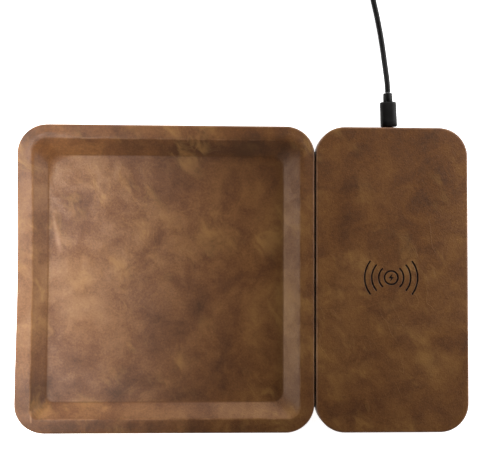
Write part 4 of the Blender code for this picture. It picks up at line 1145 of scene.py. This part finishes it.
def pad_skin(wave):
    """The pad's leather, with the pressed sign on top and the socket's opening at the back."""
    half_x = (PAD_HIGH.x - PAD_LOW.x) / 2
    across, down = PAD_STEPS[0] + PAD_STEPS[2], PAD_STEPS[1] + PAD_STEPS[2]
    path = rounded_path(
        ((WRAP_WIDTH, WRAP_BOTTOM), (0.0, WRAP_BOTTOM), (0.0, TOP), (4.0 * MM, TOP)),
        (BOTTOM_ROUND, TOP_ROUND), PAD_RING_STEP)
    flats = [(outline(half_x - inset, HALF_DEPTH - inset, [CORNER_RADIUS - inset] * 4, PAD_STEPS)
              + (PAD_CENTRE, 0.0), height, bend) for inset, height, bend in path]
    patch = rectangle(*SIGN_PATCH, across, down) + SIGN_CENTRE
    for share in np.linspace(0.0, 1.0, SIGN_RINGS + 1)[1:]:
        flats.append((flats[len(path) - 1][0] * (1 - share) + patch * share, TOP, 0.0))
    rings = []
    edge = []
    for flat, height, bend in flats:
        rings.append(np.column_stack([flat, np.full(len(flat), height)]))
        edge += [bend] * len(flat)
    points, faces = skin_of(rings, across, down)
    edge += [0.0] * (len(points) - len(edge))
    faces = open_socket(points, faces)

    top = points[:, 2] > TOP - 0.01 * MM
    distance = np.where(top, sign_distance(points), 1.0)
    ripple(points, PAD_WAVE_SHARE * wave, PAD_WAVES)
    groove = eased((SIGN_WALL - distance) / (2 * SIGN_WALL))
    lip_height, lip_place, lip_width = SIGN_LIP
    lip = np.exp(-((distance - lip_place) / lip_width) ** 2) * (distance > 0)
    points[:, 2] += lip_height * lip - SIGN_DEPTH * groove
    gather_underside(points, half_x, PAD_CENTRE)
    burnt = eased((SIGN_BURN[0] - distance) / SIGN_BURN[1])
    return mesh_of("pad_hide", points, faces, edge=edge, burnt=burnt)


def open_socket(points, faces):
    """Leave out the faces in front of the socket and ease the hole's edge into a smooth slot."""
    half_x, half_z, power = OPENING

    def reach(place):
        """Under 1 inside the opening and 1 on its outline."""
        return (np.abs((place[..., 0] - SOCKET_X) / half_x) ** power
                + np.abs((place[..., 2] - PLUG_Z) / half_z) ** power)

    at_back = points[:, 1] > HALF_DEPTH - 0.2 * MM
    kept = []
    cut = set()
    for face in faces:
        if at_back[list(face)].all() and reach(points[list(face)].mean(axis=0)) < 1.0:
            cut.update(face)
        else:
            kept.append(face)
    rim = sorted(cut & {v for face in kept for v in face})
    away = points[rim] - (SOCKET_X, 0.0, PLUG_Z)
    scale = reach(points[rim]) ** (-1 / power)
    points[rim, 0] = SOCKET_X + away[:, 0] * scale
    points[rim, 2] = PLUG_Z + away[:, 2] * scale
    used = sorted({v for face in kept for v in face})
    loose = sorted(cut - set(used))
    points[loose] = points[rim[0]]
    return kept


def drop_loose(mesh):
    """Remove points that no face uses."""
    work = bmesh.new()
    work.from_mesh(mesh)
    for vertex in [v for v in work.verts if not v.link_faces]:
        work.verts.remove(vertex)
    work.to_mesh(mesh)
    work.free()
    return mesh


# ---------------------------------------------------------------- operators

class DESKSET_OT_camera(bpy.types.Operator):
    """Place the camera over the set"""
    bl_idname = "deskset.camera"
    bl_label = "Camera"

    def execute(self, context):
        data = bpy.data.cameras.new("camera")
        data.lens = CAMERA_LENS
        data.sensor_width = 36.0
        data.clip_start = 0.01
        data.clip_end = 50.0
        camera = bpy.data.objects.new("camera", data)
        camera.location = CAMERA_PLACE
        camera.rotation_euler = [math.radians(angle) for angle in CAMERA_TURN]
        context.scene.collection.objects.link(camera)
        context.scene.camera = camera
        context.scene.view_settings.view_transform = "Standard"
        return {"FINISHED"}


class DESKSET_OT_plugs(bpy.types.Operator):
    """Build the small plug in the pad and the large plug at the lead's far end"""
    bl_idname = "deskset.plugs"
    bl_label = "Plugs"

    def execute(self, context):
        settings = context.scene.deskset_lead
        bore = settings.diameter / 2 + NECK_GAP
        moulded = jacket_finish("plug_moulding", settings.jacket, 0.5 * MM)
        steel = metal_finish("plug_plating", (0.60, 0.60, 0.62), 0.36, (1.0, 12.0, 1.0))
        small_neck = bar_along(neck_stations(NECK_START, NECK_LENGTH, NECK_RADIUS, bore),
                               *plug_frame(), 48)
        low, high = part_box("usb_strain_relief")
        middle, half = middle_and_half(low, high)
        large_neck = bar_along(neck_stations(0.0, 2 * half[0], half[2], bore),
                               (low.x, middle[1], middle[2]), 0.0, 48)
        for name, shape, sharp, material, slot, node in (
                ("small_plug", small_plug_body(), 50.0, moulded, "cord_black", "plug_overmould"),
                ("small_plug_neck", small_neck, 60.0, moulded, "cord_black",
                 "plug_strain_relief"),
                ("small_plug_sleeve", small_plug_sleeve(), 35.0, steel, "plug_steel",
                 "plug_shell"),
                ("large_plug", large_plug_body(*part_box("usb_housing")), 50.0, moulded,
                 "cord_black", "usb_housing"),
                ("large_plug_neck", large_neck, 60.0, moulded, "cord_black",
                 "usb_strain_relief")):
            piece(name, mesh_of(name, *shape, sharp=sharp), material, "lead", slot, node)
        piece("large_plug_sleeve", large_plug_sleeve(*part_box("usb_shell")), steel, "lead",
              "plug_steel", "usb_shell")
        contacts = plug_contacts(*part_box("usb_insert"))
        piece("plug_contacts", mesh_of("plug_contacts", *contacts, sharp=35.0),
              metal_finish("contact_gold", (0.85, 0.62, 0.26), 0.24), "lead", "plug_steel")
        dress(("socket_shell",), steel)
        dress(("socket_tongue", "usb_insert"),
              moulded_finish("insert_moulding", (0.72, 0.72, 0.70), 0.45, 0.6 * MM, 0.02 * MM))
        return {"FINISHED"}


class DESKSET_OT_tie(bpy.types.Operator):
    """Wrap the tie round the coil of the lead"""
    bl_idname = "deskset.tie"
    bl_label = "Tie"

    def execute(self, context):
        tape = woven_finish("tie_tape", context.scene.deskset_lead.tie, 0.45 * MM)
        strap = piece("tie_strap", mesh_of("tie_strap", *tie_strap(*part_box("cord_tie"))), tape,
                      "lead", "tie_black", "cord_tie")
        solidify(strap, STRAP_THICK, 0.0)
        return {"FINISHED"}


class DESKSET_OT_lead(bpy.types.Operator):
    """Lay the lead from the small plug to its coil behind the pad"""
    bl_idname = "deskset.lead"
    bl_label = "Lead"

    def execute(self, context):
        settings = context.scene.deskset_lead
        curve = lead_curve(settings.diameter)
        jacket = jacket_finish("lead_jacket", settings.jacket)
        lead = piece("lead_cord", curve, jacket, "lead", "cord_black", "cord", "cord_coil",
                     "cord_tail")
        return {"FINISHED"}


class DESKSET_OT_tray(bpy.types.Operator):
    """Cover the tray with leather"""
    bl_idname = "deskset.tray"
    bl_label = "Tray leather"

    def execute(self, context):
        settings = context.scene.deskset_leather
        skin = piece("tray_skin", tray_skin(settings.wave), leather_material(settings), "tray",
                     "leather", "tray_leather")
        solidify(skin, LEATHER)
        return {"FINISHED"}


class DESKSET_OT_pad(bpy.types.Operator):
    """Cover the charging pad with leather and press the charging sign into it"""
    bl_idname = "deskset.pad"
    bl_label = "Pad leather"

    def execute(self, context):
        settings = context.scene.deskset_leather
        skin = piece("pad_skin", drop_loose(pad_skin(settings.wave)), leather_material(settings),
                     "charging_pad", "leather", "pad_leather")
        solidify(skin, LEATHER)
        return {"FINISHED"}


def leather_material(settings):
    """The leather's finish, made once for both skins."""
    return bpy.data.materials.get("waxed_leather") or leather_finish(settings)


def foot_shape(low, high):
    """A round rubber foot with a shallow dimple and a rounded tread."""
    middle, half = middle_and_half(low, high)
    radius = half[0]
    profile = [(share * radius, height) for share, height in FOOT_ROWS]
    profile += [(radius, high.z - FOOT_EASE), (0.99 * radius, high.z)]
    return turned(profile, (middle[0], middle[1], low.z), 72)


class DESKSET_OT_feet(bpy.types.Operator):
    """Put the rubber feet under the tray and the pad"""
    bl_idname = "deskset.feet"
    bl_label = "Feet"

    def execute(self, context):
        rubber = moulded_finish("foot_rubber", (0.018, 0.018, 0.018), 0.78, 0.3 * MM)
        for prefix, body in (("tray", "tray"), ("pad", "charging_pad")):
            for number in range(1, 5):
                node = f"{prefix}_foot_{number}"
                shape = foot_shape(*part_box(node))
                piece(f"{prefix}_rubber_{number}", mesh_of(node, *shape, sharp=50.0), rubber, body,
                      "foot_rubber", node)
        return {"FINISHED"}


def lining_shape(low, high):
    """A cloth cut to the underside, its edge pressed thin."""
    middle, half = middle_and_half(low, high)
    corner = CORNER_RADIUS - LINING_INSET
    rings = []
    for inset, drop in LINING_EDGE:
        flat = outline(half[0] - inset, half[1] - inset, [corner - inset] * 4, LINING_STEPS)
        rings.append(np.column_stack([flat[:, 0] + middle[0], flat[:, 1],
                                      np.full(len(flat), high.z - drop)]))
    return skin_of(rings, LINING_STEPS[0] + LINING_STEPS[2], LINING_STEPS[1] + LINING_STEPS[2])


class DESKSET_OT_linings(bpy.types.Operator):
    """Lay the cloth linings on the underside"""
    bl_idname = "deskset.linings"
    bl_label = "Linings"

    def execute(self, context):
        cloth = woven_finish("lining_cloth", (0.050, 0.038, 0.031), 0.30 * MM)
        for prefix, body in (("tray", "tray"), ("pad", "charging_pad")):
            low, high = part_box(f"{prefix}_lining")
            mesh = mesh_of(f"{prefix}_cloth", *lining_shape(low, high))
            lining = piece(f"{prefix}_cloth", mesh, cloth, body, "lining", f"{prefix}_lining")
            solidify(lining, LINING)
        return {"FINISHED"}


def wound_coil(low, high):
    """The charging coil's wire: a flat spiral outwards, then a second one back on top of it."""
    middle, half = middle_and_half(low, high)
    wire = half[2] / 2
    inner, outer = BORE_RADIUS + wire, half[0] - wire
    turns = round((outer - inner) / (WIRE_PITCH * wire))
    points = []
    for number in range(2 * turns * WIRE_POINTS + 1):
        turn = number / WIRE_POINTS
        radius = inner + (outer - inner) * (1.0 - abs(turn / turns - 1.0))
        angle = math.radians(90.0) + 2 * math.pi * turn
        points.append((middle[0] + radius * math.cos(angle), middle[1] + radius * math.sin(angle),
                       low.z + wire + 2 * wire * eased(turn - turns + 0.5)))
    curve = round_curve("wound_coil", WIRE_FILL * wire, 2)
    spline = curve.splines.new("POLY")
    spline.points.add(len(points) - 1)
    for knot, place in zip(spline.points, points):
        knot.co = (*place, 1.0)
    return curve


class DESKSET_OT_wound_coil(bpy.types.Operator):
    """Wind the charging coil under the pad's top"""
    bl_idname = "deskset.wound_coil"
    bl_label = "Charging coil"

    def execute(self, context):
        copper = metal_finish("enamelled_copper", (0.70, 0.30, 0.14), 0.38)
        piece("wound_coil", wound_coil(*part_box("charging_coil")), copper, "charging_pad", "copper",
              "charging_coil")
        dress(("coil_lead_1", "coil_lead_2"), copper)
        return {"FINISHED"}


class DESKSET_OT_hidden_parts(bpy.types.Operator):
    """Finish the parts under the leather and on the underside"""
    bl_idname = "deskset.hidden_parts"
    bl_label = "Inner parts"

    def execute(self, context):
        nodes = frame["nodes"]

        def named(*words):
            return [name for name in nodes if any(word in name for word in words)]

        dress(("tray_core", "pad_top_shell", "tray_base", "pad_base", "coil_carrier"),
              moulded_finish("case_moulding", (0.028, 0.028, 0.030), 0.55))
        dress(named("_screw_"), metal_finish("screw_plating", (0.58, 0.58, 0.60), 0.36))
        dress(named("_magnet_"), metal_finish("magnet_plating", (0.66, 0.65, 0.62), 0.28))
        dress(("seam_strip",), woven_finish("seam_felt", (0.012, 0.010, 0.010), 0.35 * MM))
        dress(("ferrite_sheet", "power_choke"),
              moulded_finish("sintered_ferrite", (0.080, 0.080, 0.085), 0.62, 0.25 * MM))
        dress(("control_board",), board_finish())
        dress(("controller_chip", "bridge_chip", "coil_thermistor"),
              moulded_finish("chip_epoxy", (0.024, 0.024, 0.026), 0.5, 0.2 * MM, 0.02 * MM))
        dress(named("coil_capacitor"),
              moulded_finish("capacitor_ceramic", (0.40, 0.275, 0.155), 0.5, 0.2 * MM, 0.01 * MM))
        return {"FINISHED"}


def area_light(name, place, target, size, spread, power):
    """A soft light that isn't itself seen."""
    data = bpy.data.lights.new(name, "AREA")
    data.shape = "RECTANGLE"
    data.size, data.size_y = size
    data.spread = math.radians(spread)
    data.energy = power
    light = bpy.data.objects.new(name, data)
    light.location = place
    light.rotation_mode = "QUATERNION"
    light.rotation_quaternion = (Vector(target) - Vector(place)).to_track_quat("-Z", "Y")
    light.visible_camera = False
    bpy.context.scene.collection.objects.link(light)


def backdrop(settings):
    """A pale wall all round the floor, well away from the set."""
    count = 96
    angles = np.linspace(0.0, 2 * math.pi, count, endpoint=False)
    points = [(BACKDROP_RADIUS * math.cos(a), BACKDROP_RADIUS * math.sin(a), z)
              for z in (0.0, BACKDROP_HEIGHT) for a in angles]
    faces = [(i, i + count, (i + 1) % count + count, (i + 1) % count) for i in range(count)]
    wall = bpy.data.objects.new("backdrop", mesh_of("backdrop", points, faces))
    wall.data.materials.append(paper_finish("plain_wall", settings.floor, settings.wall_glow))
    return wall


class DESKSET_OT_stage(bpy.types.Operator):
    """Lay the floor and hang the lights"""
    bl_idname = "deskset.stage"
    bl_label = "Stage"

    def execute(self, context):
        settings = context.scene.deskset_stage
        corners = [(x * BACKDROP_RADIUS, y * BACKDROP_RADIUS, 0.0)
                   for x, y in ((-1, -1), (1, -1), (1, 1), (-1, 1))]
        mesh = mesh_of("floor", corners, [(0, 1, 2, 3)])
        mesh.materials.append(paper_finish("plain_floor", settings.floor, settings.floor_glow))
        floor = bpy.data.objects.new("floor", mesh)
        context.scene.collection.objects.link(floor)
        for name, place, target, size, spread in LIGHTS:
            area_light(name, place, target, size, spread, getattr(settings, name))
        context.scene.collection.objects.link(backdrop(settings))
        world = bpy.data.worlds.new("room")
        world.use_nodes = True
        background = world.node_tree.nodes["Background"]
        background.inputs["Color"].default_value = (1.0, 1.0, 1.0, 1.0)
        background.inputs["Strength"].default_value = ROOM_GLOW
        context.scene.world = world
        return {"FINISHED"}


class DESKSET_PT_panel(bpy.types.Panel):
    bl_idname = "DESKSET_PT_panel"
    bl_label = "Leather Desk Set"
    bl_space_type = "VIEW_3D"
    bl_region_type = "UI"
    bl_category = "Desk Set"

    def draw(self, context):
        for operator in OPERATORS:
            self.layout.operator(operator.bl_idname)
        for group in ("deskset_leather", "deskset_lead", "deskset_stage"):
            settings = getattr(context.scene, group)
            for name in settings.bl_rna.properties.keys():
                if name not in ("rna_type", "name"):
                    self.layout.prop(settings, name)


OPERATORS = (DESKSET_OT_camera, DESKSET_OT_plugs, DESKSET_OT_tie, DESKSET_OT_lead,
             DESKSET_OT_tray, DESKSET_OT_pad, DESKSET_OT_feet, DESKSET_OT_linings,
             DESKSET_OT_wound_coil, DESKSET_OT_hidden_parts, DESKSET_OT_stage)
SETTINGS = (("deskset_leather", LeatherSettings), ("deskset_lead", LeadSettings),
            ("deskset_stage", StageSettings))


def register():
    for name, group in SETTINGS:
        bpy.utils.register_class(group)
        setattr(bpy.types.Scene, name, bpy.props.PointerProperty(type=group))
    for operator in OPERATORS:
        bpy.utils.register_class(operator)
    bpy.utils.register_class(DESKSET_PT_panel)


def unregister():
    bpy.utils.unregister_class(DESKSET_PT_panel)
    for operator in reversed(OPERATORS):
        bpy.utils.unregister_class(operator)
    for name, group in reversed(SETTINGS):
        delattr(bpy.types.Scene, name)
        bpy.utils.unregister_class(group)


def main():
    register()
    bpy.ops.deskset.camera()
    bpy.ops.deskset.plugs()
    bpy.ops.deskset.tie()
    bpy.ops.deskset.lead()
    bpy.ops.deskset.tray()
    bpy.ops.deskset.pad()
    bpy.ops.deskset.feet()
    bpy.ops.deskset.linings()
    bpy.ops.deskset.wound_coil()
    bpy.ops.deskset.hidden_parts()
    bpy.ops.deskset.stage()


if __name__ == "__main__":
    main()
